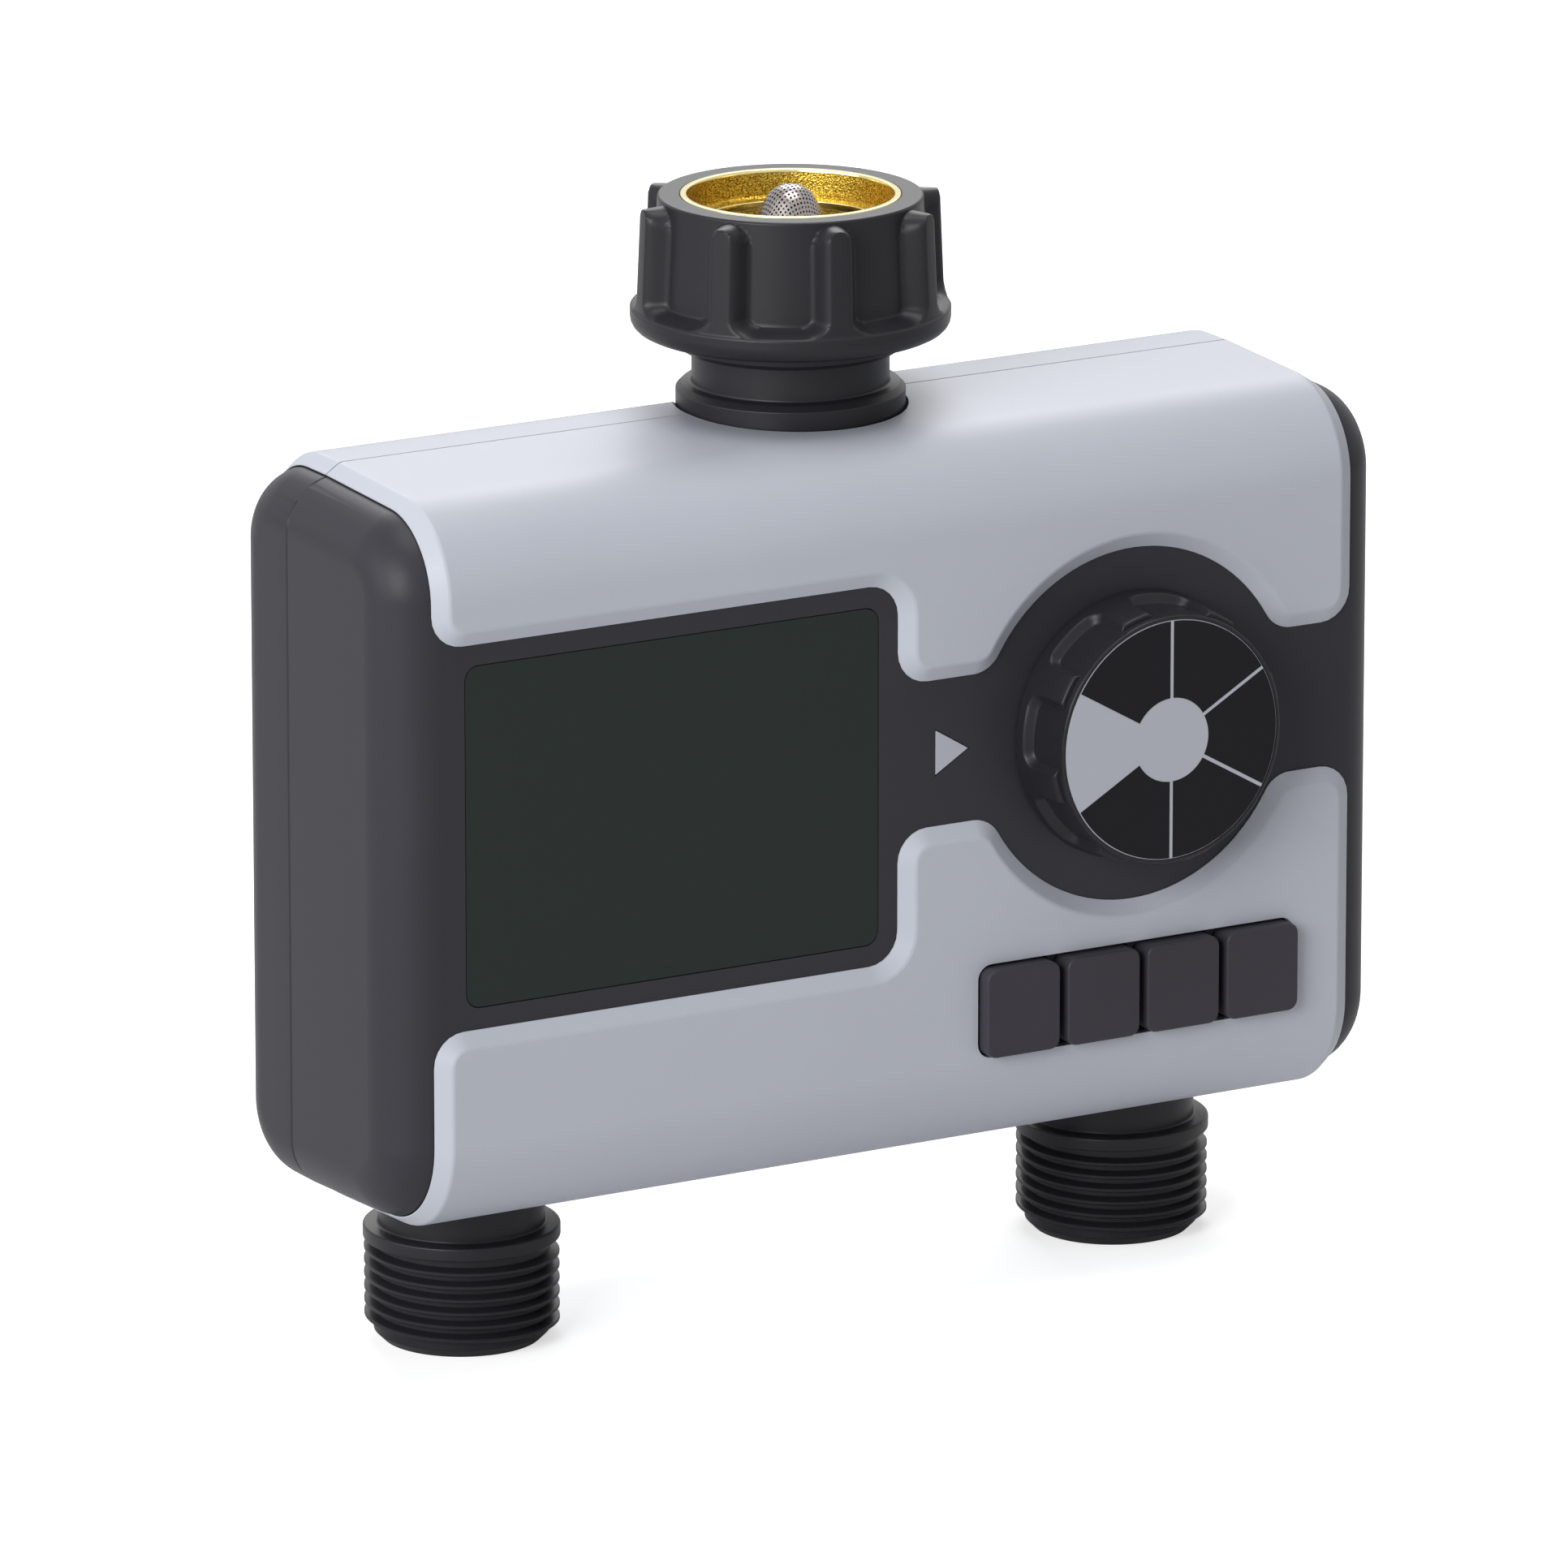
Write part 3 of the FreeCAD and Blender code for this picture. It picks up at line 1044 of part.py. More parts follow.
def filter_screen():
    """Domed screen that stands on a rim in the nut and reaches above the mouth."""
    body = new_body("filter_screen")
    apex = "mouth_height + screen_proud"
    turned(body, outline(sketch_on(body, "XZ_Plane", "screen_section"), [
        ("0", "screen_seat"), ("screen_foot", "screen_seat"), ("screen_tip", apex), ("0", apex),
    ]), "screen_cone")
    heights = [corner.Z for corner in body.Shape.Vertexes]
    filleted(body, "screen_dome", lambda edge: abs(middle(edge).z - max(heights)) < NEAR,
             "1.4 * screen_tip")
    shelled(body, "screen_hollow", lambda face: abs(face.CenterOfMass.z - min(heights)) < NEAR, "screen_wall")
    rim = circles(sketch_on(body, "XY_Plane", "screen_rim_outline", "screen_seat"), [("0", "0")], "screen_rim")
    circle(rim, "0", "0", "screen_foot - screen_wall")
    pad(body, rim, "screen_rim_ring", "screen_rim_thick")
    return finish(body, "filter_screen")


inlet_nut()
nut_insert()
inlet_spigot()
finish(ring("inlet_washer", "insert_radius - cut_gap", "inlet_bore + cut_gap", "washer_low", "screen_seat"),
       "inlet_washer")
filter_screen()
finish(ring("spigot_seal", "socket_radius - fit_gap", "tail_radius + fit_gap", "socket_top", "shank_low"),
       "spigot_seal")


# ---------------------------------------------------------------- manifold, valves and outlets

def water_manifold():
    """Pipe from the inlet to both valves: socket, cross pipe and a drop pipe with a side stub at each end."""
    outer = [rod("cross_pipe", "x", "manifold_radius", ("-drop_x", "drop_x"), ("0", "manifold_z")),
             rod("inlet_socket", "z", "socket_radius", ("manifold_z", "socket_top"), ("0", "0"))]
    inner = [rod("cross_bore", "x", "manifold_radius - pipe_wall", ("-drop_x", "drop_x"), ("0", "manifold_z")),
             rod("socket_bore", "z", "tail_radius + fit_gap", ("tail_low - fit_gap", "socket_top + beyond"),
                 ("0", "0"))]
    head = "manifold_radius + pipe_wall/2"
    for side, way in (("left", "-"), ("right", "")):
        x = way + "drop_x"
        stub = (way + "port_x", x) if way else (x, "port_x")
        outer.append(rod(f"drop_{side}", "z", "drop_radius", ("port_z - drop_radius", "manifold_z"), (x, "0")))
        outer.append(rod(f"drop_head_{side}", "z", head, (f"manifold_z - ({head})", f"manifold_z + {head}"),
                         (x, "0")))
        outer.append(rod(f"stub_{side}", "x", "stub_radius", stub, ("0", "port_z")))
        inner.append(rod(f"drop_bore_{side}", "z", "drop_radius - pipe_wall",
                         ("port_z - drop_radius + pipe_wall", "manifold_z"), (x, "0")))
        inner.append(rod(f"stub_bore_{side}", "x", "stub_radius - pipe_wall", stub, ("0", "port_z")))
    return finish(less("water_manifold", joined("manifold_outside", outer), inner), "water_manifold")


def valve(side):
    """Valve body, diaphragm, bonnet, solenoid, plunger and spring over one outlet."""
    x = "-outlet_x" if side == "left" else "outlet_x"
    spot = (x, "0")
    port = ("-(outlet_x - valve_bore)", "-port_x") if side == "left" else ("port_x", "outlet_x - valve_bore")
    chamber = "valve_radius - valve_wall"
    seat = "valve_bore + valve_wall"
    tail = "outlet_bore - fit_gap"

    body = joined(f"valve_outside_{side}", [
        rod("valve_pot", "z", "valve_radius", ("valve_low", "valve_top"), spot),
        rod("valve_tail", "z", tail, ("seat_height", "valve_low"), spot),
        rod("valve_port", "x", "stub_radius", port, ("0", "port_z")),
    ])
    annulus = less(f"valve_annulus_{side}",
                   rod("valve_chamber", "z", chamber,
                       ("valve_low + 4 * valve_wall", "valve_top + beyond"), spot),
                   [rod("valve_seat", "z", seat, ("valve_low", "valve_top + 2 * beyond"), spot)])
    groove = less(f"valve_groove_{side}",
                  rod("groove_outside", "z", "outlet_bore + beyond",
                      ("ring_groove", "ring_groove + ring_cord"), spot),
                  [rod("groove_inside", "z", f"{tail} - ring_cord/2",
                       ("ring_groove - beyond", "ring_groove + ring_cord + beyond"), spot)])
    inner_end = "outlet_x - valve_bore - valve_wall/2"
    inlet = (f"-({inner_end})", "-port_x") if side == "left" else ("port_x", inner_end)
    finish(less(f"valve_body_{side}", body, [
        rod("valve_outlet_bore", "z", "valve_bore", ("seat_height - beyond", "valve_top + beyond"), spot),
        annulus, groove,
        rod("valve_port_bore", "x", "stub_radius - pipe_wall", inlet, ("0", "port_z")),
    ]), f"valve_body_{side}")

    bonnet_low = "valve_top + membrane_thick"
    coil_low = f"{bonnet_low} + bonnet_thick"
    coil_top = f"{coil_low} + coil_tall"
    guide = "plunger_radius + running_gap"
    foot = f"{bonnet_low} + plunger_foot"
    crown = f"{foot} + plunger_tall"
    finish(rod(f"diaphragm_{side}", "z", "valve_radius", ("0", "membrane_thick"), ("0", "0")),
           f"diaphragm_{side}", x=x, z="valve_top")
    bonnet = rod("bonnet_disc", "z", "valve_radius", (bonnet_low, coil_low), spot)
    bonnet_hole = rod("bonnet_hole", "z", guide, (f"{bonnet_low} - beyond", f"{coil_low} + beyond"), spot)
    finish(less(f"valve_bonnet_{side}", bonnet, [bonnet_hole]), f"valve_bonnet_{side}")
    can = rod("solenoid_can", "z", "coil_radius", (coil_low, coil_top), spot)
    well = rod("solenoid_well", "z", guide, (f"{coil_low} - beyond", f"{coil_top} - coil_cap"), spot)
    finish(less(f"solenoid_{side}", can, [well]), f"solenoid_{side}")
    finish(rod(f"plunger_{side}", "z", "plunger_radius", ("0", "plunger_tall"), ("0", "0")),
           f"plunger_{side}", x=x, z=foot)
    spring = ring(f"plunger_spring_{side}", "spring_radius", "spring_radius - spring_wire", "0", "spring_long")
    finish(spring, f"plunger_spring_{side}", x=x, z=f"{coil_top} - coil_cap - spring_long")


def outlet(side):
    """Threaded outlet: tip, thread's cylinder, flange, neck through the casing and a seat inside it."""
    body = new_body(f"outlet_{side}")
    seat = "seat_height + cover_gap"
    flange_low = "flange_top - flange_thick"
    turned(body, outline(sketch_on(body, "XZ_Plane", f"outlet_{side}_section"), [
        ("outlet_bore", "0"), ("end_tip", "0"), ("end_radius", "end_chamfer"), ("end_radius", "thread_low"),
        ("thread_radius", "thread_low"), ("thread_radius", f"{flange_low} - thread_relief"),
        ("end_radius", f"{flange_low} - thread_relief"), ("end_radius", flange_low),
        ("outlet_flange", flange_low), ("outlet_flange", "flange_top"),
        ("outlet_neck", "flange_top"), ("outlet_neck", seat), ("seat_radius", seat),
        ("seat_radius", f"{seat} + seat_flange"), ("outlet_neck", f"{seat} + seat_flange"),
        ("outlet_neck", "outlet_top"), ("outlet_bore", "outlet_top"),
    ]), f"outlet_{side}_turned")
    return finish(body, f"outlet_{side}", x="-outlet_x" if side == "left" else "outlet_x")


water_manifold()
for valve_side in ("left", "right"):
    valve(valve_side)
    outlet(valve_side)
outlet_rings = []
for ring_side, ring_x in (("left", "-outlet_x"), ("right", "outlet_x")):
    outlet_ring = ring(f"outlet_ring_{ring_side}", "outlet_bore - cover_gap",
                       "outlet_bore - fit_gap - ring_cord/2 + cover_gap", "ring_groove + cover_gap",
                       "ring_groove + ring_cord - cover_gap")
    outlet_rings.append(placed(outlet_ring, x=ring_x))
finish(gathered("outlet_seals", outlet_rings), "outlet_seals")


# ---------------------------------------------------------------- batteries and their door

CELL_Y = "cell_radius + fit_gap - bay_floor"


def battery(number):
    """One AA cell, lying across the bay with its terminal to the right or the left."""
    label = f"battery_{number}"
    z = f"bay_z + ({number} - 1.5) * cell_pitch"
    way = "" if number == 1 else "-"
    can_end = "cell_long/2 - cell_nub"
    span = (f"{way}(-cell_long/2)", f"{way}({can_end})") if number == 1 else (f"-({can_end})", "cell_long/2")
    nub = (can_end, "cell_long/2") if number == 1 else ("-cell_long/2", f"-({can_end})")
    can = rod("cell_can", "x", "cell_radius", span, (CELL_Y, z))
    return finish(joined(label, [can, rod("cell_nub_rod", "x", "nub_radius", nub, (CELL_Y, z))]), label)


def battery_contacts():
    """A sprung contact plate at both ends of each cell."""
    contacts = []
    for z in ("bay_z - cell_pitch/2", "bay_z + cell_pitch/2"):
        for way in (-1, 1):
            inner, outer = "bay_x - fit_gap - contact_thick", "bay_x - fit_gap"
            x_range = (inner, outer) if way > 0 else (f"-({outer})", f"-({inner})")
            plate = block("contact_plate", x_range, (f"{CELL_Y} - contact_half", f"{CELL_Y} + contact_half"),
                          (f"{z} - contact_half", f"{z} + contact_half"))
            tip = "cell_long/2 + cover_gap"
            span = (tip, inner) if way > 0 else (f"-({inner})", f"-({tip})")
            coil = rod("contact_spring", "x", "nub_radius", span, (CELL_Y, z))
            contacts.append(joined("contact", [plate, coil]))
    return finish(gathered("battery_contacts", contacts), "battery_contacts")


def battery_door():
    """Door in the back, with an inner rim that fits the bay and a finger recess."""
    label = "battery_door"
    body = new_body(label)
    plate = round_rectangle(sketch_on(body, "XZ_Plane", label + "_outline", "-(back_depth - door_thick)"), "0",
                            "bay_z", "2 * door_x", "2 * door_half", "door_corner")
    pad(body, plate, label + "_plate", "door_thick", reverse=True)
    rim = sketch_on(body, "XZ_Plane", label + "_rim", "-(back_depth - door_thick)")
    for inset in ("slide_gap", "slide_gap + door_rim"):
        rectangle(rim, "0", "bay_z", f"2 * (bay_x - ({inset}))", f"2 * (bay_half - ({inset}))")
    pad(body, rim, label + "_rim_wall", "door_rim_deep")
    grip = round_rectangle(sketch_on(body, "XZ_Plane", label + "_grip", "-back_depth"), "0",
                           "bay_z + door_half - grip_tall", "grip_wide", "grip_tall", "grip_tall/2 - fit_gap")
    pocket(body, grip, label + "_finger_recess", "door_thick/2", reverse=True)
    return finish(body, label)


def door_seal():
    """Flat gasket between the door and the ledge of its recess."""
    body = new_body("door_seal")
    sketch = round_rectangle(sketch_on(body, "XZ_Plane", "gasket_outline", "-(back_depth - door_thick)"), "0",
                             "bay_z", "2 * (door_x - slide_gap)", "2 * (door_half - slide_gap)",
                             "door_corner - slide_gap")
    rectangle(sketch, "0", "bay_z", "2 * (bay_x - fit_gap)", "2 * (bay_half - fit_gap)")
    pad(body, sketch, "gasket", "gasket_thick")
    return finish(body, "door_seal")


battery(1)
battery(2)
battery_contacts()
battery_door()
door_seal()


# ---------------------------------------------------------------- checks and files

doc.recompute()
for item in doc.Objects:
    if {"Invalid", "Error"} & set(item.State):
        raise RuntimeError(f"{item.Name} failed: {item.State}")
for item in FINISHED:
    if item.Shape.isNull() or not item.Shape.isValid():
        raise RuntimeError(f"{item.Label} has no valid shape")
os.makedirs("parts", exist_ok=True)
for item in FINISHED:
    item.Shape.exportStep(f"parts/{item.Label}.step")
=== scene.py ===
"""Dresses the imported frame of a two-outlet drip irrigation timer.

Each sub-assembly is a class that builds its meshes and gives them their finish. Lengths in the classes are
millimetres, places come from the frame's own boxes, and every finished mesh is in metres in the frame.
"""

import json
import logging
import math
from collections.abc import Callable, Iterator, Sequence
from contextlib import contextmanager
from dataclasses import dataclass, field
from enum import Enum

import bpy
import numpy as np
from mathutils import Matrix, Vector

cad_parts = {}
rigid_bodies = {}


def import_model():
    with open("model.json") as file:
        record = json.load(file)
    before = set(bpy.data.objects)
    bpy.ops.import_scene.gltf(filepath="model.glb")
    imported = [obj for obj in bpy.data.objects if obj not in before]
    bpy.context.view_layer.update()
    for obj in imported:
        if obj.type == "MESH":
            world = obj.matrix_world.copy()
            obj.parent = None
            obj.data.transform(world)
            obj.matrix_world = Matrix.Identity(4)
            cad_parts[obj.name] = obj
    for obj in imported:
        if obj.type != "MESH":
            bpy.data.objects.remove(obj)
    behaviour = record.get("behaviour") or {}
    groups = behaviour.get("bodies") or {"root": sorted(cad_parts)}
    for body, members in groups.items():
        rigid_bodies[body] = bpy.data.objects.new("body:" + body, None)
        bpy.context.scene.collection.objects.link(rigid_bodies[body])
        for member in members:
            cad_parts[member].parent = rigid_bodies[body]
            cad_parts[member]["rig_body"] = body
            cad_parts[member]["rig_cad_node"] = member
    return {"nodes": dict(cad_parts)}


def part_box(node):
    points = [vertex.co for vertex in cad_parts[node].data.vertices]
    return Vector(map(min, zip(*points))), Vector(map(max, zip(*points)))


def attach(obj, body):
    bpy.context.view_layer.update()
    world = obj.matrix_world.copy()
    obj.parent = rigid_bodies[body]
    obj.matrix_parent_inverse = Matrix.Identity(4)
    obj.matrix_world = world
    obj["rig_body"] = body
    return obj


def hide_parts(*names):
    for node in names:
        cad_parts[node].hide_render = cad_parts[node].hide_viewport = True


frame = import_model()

MM = 0.001
MERGE = 2e-6  # metres between vertices that count as one
NEAR = MERGE / MM
SMOOTH = math.radians(35)  # edges blunter than this are shaded smooth

FIT = 0.4  # clearance of a cover round pipes and buttons
COLLAR = 15.5  # radius of the inlet's collar
SHANK = 11.3  # radius of an outlet above its flange
KEY_CAP = (11.4, 12.3)  # width and height of a button's cap

log = logging.getLogger("timer")

Point = tuple[float, float]
Corner = tuple[float, float, float]
Colour = tuple[int, int, int]
Linear = tuple[float, float, float, float]


# ---------------------------------------------------------------------------------------- finishes

def linear(colour: Colour) -> Linear:
    """Turn a display colour into the linear one that shaders take.

    Args:
        colour: Red, green and blue from 0 to 255.

    Returns:
        Linear red, green, blue and an alpha of 1.
    """
    parts = [part / 255 for part in colour]
    parts = [part / 12.92 if part <= 0.04045 else ((part + 0.055) / 1.055) ** 2.4 for part in parts]
    return (*parts, 1.0)


class Effect(Enum):
    """Shared shader effects, each one node group."""

    GRAIN = "moulded_grain"
    SPECKLE = "cast_speckle"


def new_group(name: str, inputs: dict[str, float], outputs: Sequence[str]) -> bpy.types.NodeTree:
    """Make an empty shader node group with named sockets.

    Args:
        name: The group's name.
        inputs: Names and first values of the number sockets that go in.
        outputs: Names of the number sockets that come out.

    Returns:
        The group, with its input and output nodes added.
    """
    group = bpy.data.node_groups.new(name, "ShaderNodeTree")
    for label, value in inputs.items():
        socket = group.interface.new_socket(label, in_out="INPUT", socket_type="NodeSocketFloat")
        socket.default_value = value
    for label in outputs:
        group.interface.new_socket(label, in_out="OUTPUT", socket_type="NodeSocketFloat")
    group.nodes.new("NodeGroupInput")
    group.nodes.new("NodeGroupOutput")
    return group


def build_grain() -> None:
    """Build the fine skin of moulded plastic, with a slow drift of tone. It puts out Height and Tone."""
    group = new_group(Effect.GRAIN.value, {"Scale": 3000.0, "Drift": 30.0}, ("Height", "Tone"))
    nodes, links = group.nodes, group.links
    given, made = nodes["Group Input"], nodes["Group Output"]
    place = nodes.new("ShaderNodeTexCoord")
    skin = nodes.new("ShaderNodeTexNoise")
    skin.inputs["Detail"].default_value = 2.0
    drift = nodes.new("ShaderNodeTexNoise")
    drift.inputs["Detail"].default_value = 3.0
    for noise, size in ((skin, "Scale"), (drift, "Drift")):
        links.new(place.outputs["Object"], noise.inputs["Vector"])
        links.new(given.outputs[size], noise.inputs["Scale"])
    links.new(skin.outputs["Fac"], made.inputs["Height"])
    links.new(drift.outputs["Fac"], made.inputs["Tone"])


def build_speckle() -> None:
    """Build the coarse glitter of a rough cast or blasted metal. It puts out Height and Fleck."""
    group = new_group(Effect.SPECKLE.value, {"Scale": 5000.0}, ("Height", "Fleck"))
    nodes, links = group.nodes, group.links
    given, made = nodes["Group Input"], nodes["Group Output"]
    place = nodes.new("ShaderNodeTexCoord")
    cells = nodes.new("ShaderNodeTexVoronoi")
    cloud = nodes.new("ShaderNodeTexNoise")
    cloud.inputs["Detail"].default_value = 3.0
    for texture in (cells, cloud):
        links.new(place.outputs["Object"], texture.inputs["Vector"])
        links.new(given.outputs["Scale"], texture.inputs["Scale"])
    links.new(cells.outputs["Distance"], made.inputs["Height"])
    links.new(cloud.outputs["Fac"], made.inputs["Fleck"])


@dataclass(frozen=True)
class Finish:
    """One finish: a colour, its gloss and its fine surface.

    Attributes:
        name: Name of the material.
        colour: Display colour, red, green and blue.
        roughness: Middle roughness.
        spread: How far the roughness drifts to either side.
        tone: How far the colour drifts, as a share of itself.
        grain: Grains to the metre.
        relief: Depth of the grain in millimetres.
        metallic: 1 for bare metal.
        specular: Level of the clear reflection, 0.5 for bare plastic.
        fleck: Display colour of the flecks in a speckled metal, or None for a moulded skin.
        cloud: Lowest and highest value that the drifting noise mostly keeps to.
    """

    name: str
    colour: Colour
    roughness: float
    spread: float = 0.04
    tone: float = 0.03
    grain: float = 3200.0
    relief: float = 0.004
    metallic: float = 0.0
    specular: float = 0.5
    fleck: Colour | None = None
    cloud: Point = (0.35, 0.65)

    def material(self) -> bpy.types.Material:
        """Return the finish as a material, built the first time it is asked for."""
        known = bpy.data.materials.get(self.name)
        return known if known is not None else self._build()

    def _tones(self) -> tuple[Linear, Linear]:
        """Work out the two linear colours that the finish drifts between.

        Returns:
            The darker one, or the flecks', and the lighter one.
        """
        base = linear(self.colour)
        if self.fleck:
            return linear(self.fleck), base
        dark = [part * (1 - self.tone) for part in base[:3]]
        light = [min(1.0, part * (1 + self.tone)) for part in base[:3]]
        return (*dark, 1.0), (*light, 1.0)

    def _build(self) -> bpy.types.Material:
        """Build the material: its effect drives the colour, the gloss and the bump.

        Returns:
            The new material.
        """
        material = bpy.data.materials.new(self.name)
        material.use_nodes = True
        nodes, links = material.node_tree.nodes, material.node_tree.links
        shader = nodes["Principled BSDF"]
        shader.inputs["Metallic"].default_value = self.metallic
        shader.inputs["Specular IOR Level"].default_value = self.specular
        effect = Effect.SPECKLE if self.fleck else Effect.GRAIN
        surface = nodes.new("ShaderNodeGroup")
        surface.node_tree = bpy.data.node_groups[effect.value]
        surface.inputs["Scale"].default_value = self.grain
        drift = surface.outputs["Fleck" if self.fleck else "Tone"]
        mix = nodes.new("ShaderNodeMix")
        mix.data_type = "RGBA"
        mix.inputs["A"].default_value, mix.inputs["B"].default_value = self._tones()
        spread = nodes.new("ShaderNodeMapRange")
        spread.inputs["From Min"].default_value, spread.inputs["From Max"].default_value = self.cloud
        gloss = nodes.new("ShaderNodeMapRange")
        gloss.inputs["To Min"].default_value = self.roughness - self.spread
        gloss.inputs["To Max"].default_value = self.roughness + self.spread
        bump = nodes.new("ShaderNodeBump")
        bump.inputs["Strength"].default_value = 1.0
        bump.inputs["Distance"].default_value = self.relief * MM
        links.new(drift, spread.inputs["Value"])
        links.new(spread.outputs["Result"], mix.inputs["Factor"])
        links.new(mix.outputs["Result"], shader.inputs["Base Color"])
        links.new(drift, gloss.inputs["Value"])
        links.new(gloss.outputs["Result"], shader.inputs["Roughness"])
        links.new(surface.outputs["Height"], bump.inputs["Height"])
        links.new(bump.outputs["Normal"], shader.inputs["Normal"])
        return material


CASING = Finish("casing_plastic", (50, 49, 55), 0.4, specular=0.16)
COVER = Finish("cover_plastic", (178, 182, 192), 0.45, tone=0.012, specular=0.4)
PANE = Finish("display_pane", (37, 44, 41), 0.5, tone=0.01, relief=0.001, specular=0.14)
INLAY = Finish("light_inlay", (172, 175, 185), 0.5, tone=0.01, specular=0.4)
DIAL = Finish("dial_plastic", (34, 33, 37), 0.36, specular=0.22)
SECTOR = Finish("sector_print", (24, 23, 26), 0.55, tone=0.01, specular=0.12)
KEY = Finish("key_plastic", (58, 56, 63), 0.42, specular=0.16)
PIPE = Finish("pipe_plastic", (34, 33, 37), 0.36, specular=0.22)
RUBBER = Finish("seal_rubber", (28, 28, 29), 0.7, specular=0.2)
INNER = Finish("inner_plastic", (176, 176, 172), 0.5)
BOARD = Finish("board_lacquer", (34, 92, 58), 0.35)
CELL = Finish("cell_wrap", (60, 64, 76), 0.3)
STEEL = Finish("plain_steel", (176, 176, 178), 0.32, metallic=1.0)
BRASS = Finish("turned_brass", (222, 208, 150), 0.16, metallic=1.0, relief=0.001)
CAST_BRASS = Finish("cast_brass", (236, 204, 88), 0.36, grain=4200.0, relief=0.05, metallic=1.0,
                    fleck=(128, 92, 22))
SCREEN = Finish("screen_steel", (150, 144, 144), 0.28, metallic=1.0, relief=0.002)


# ---------------------------------------------------------------------------------------- the bench

def set_down() -> None:
    """Leave edit mode and select nothing."""
    if bpy.context.mode != "OBJECT":
        bpy.ops.object.mode_set(mode="OBJECT")
    bpy.ops.object.select_all(action="DESELECT")


def arc(centre: Point, radius: float, start: float, end: float, count: int) -> list[Point]:
    """Find points along an arc.

    Args:
        centre: Middle of the arc.
        radius: Its radius.
        start: Angle of its first point in degrees.
        end: Angle of its last point in degrees.
        count: Number of stretches.

    Returns:
        The points, both ends included.
    """
    angles = [math.radians(start + (end - start) * k / count) for k in range(count + 1)]
    return [(centre[0] + radius * math.cos(a), centre[1] + radius * math.sin(a)) for a in angles]


def rows(start: Point, end: Point, step: float) -> list[Point]:
    """Find points along a straight stretch.

    Args:
        start: Its first point.
        end: Its last point.
        step: Longest distance between two points.

    Returns:
        The points, evenly spaced, without the last one.
    """
    count = max(1, math.ceil(math.dist(start, end) / step))
    return [(start[0] + (end[0] - start[0]) * k / count, start[1] + (end[1] - start[1]) * k / count)
            for k in range(count)]


def rounded(points: Sequence[Corner], count: int = 6) -> list[Point]:
    """Round the corners of a closed outline.

    Args:
        points: Corners, each with the radius of its rounding as third value.
        count: Stretches in each rounding.

    Returns:
        The outline's points, with an arc in place of each corner that has a radius.
    """
    result: list[Point] = []
    for k, (u, v, radius) in enumerate(points):
        here = Vector((u, v))
        before = (Vector(points[k - 1][:2]) - here).normalized()
        after = (Vector(points[(k + 1) % len(points)][:2]) - here).normalized()
        if radius <= 0:
            result.append((u, v))
            continue
        half = before.angle(after) / 2
        reach = radius / math.tan(half)
        middle = here + (before + after).normalized() * (radius / math.sin(half))
        first, last = here + before * reach - middle, here + after * reach - middle
        turn = first.angle_signed(last)
        for step in range(count + 1):
            angle = -turn * step / count
            cos, sin = math.cos(angle), math.sin(angle)
            result.append((middle.x + first.x * cos - first.y * sin,
                           middle.y + first.x * sin + first.y * cos))
    return result


def round_rectangle(low: Point, high: Point, radius: float, count: int = 6) -> list[Point]:
    """Outline a rectangle with round corners.

    Args:
        low: Its lower left corner.
        high: Its upper right corner.
        radius: Radius of the corners.
        count: Stretches in each corner.

    Returns:
        The outline's points.
    """
    return rounded([(low[0], low[1], radius), (high[0], low[1], radius),
                    (high[0], high[1], radius), (low[0], high[1], radius)], count)


def ease(value: np.ndarray) -> np.ndarray:
    """Go smoothly from 0 to 1."""
    value = np.clip(value, 0, 1)
    return value * value * (3 - 2 * value)


def corners(node: str) -> tuple[Vector, Vector]:
    """Return a CAD node's lowest and highest corner in millimetres."""
    low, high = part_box(node)
    return low / MM, high / MM


def middle_of(node: str) -> Vector:
    """Return the middle of a CAD node's box in millimetres."""
    low, high = corners(node)
    return (low + high) / 2


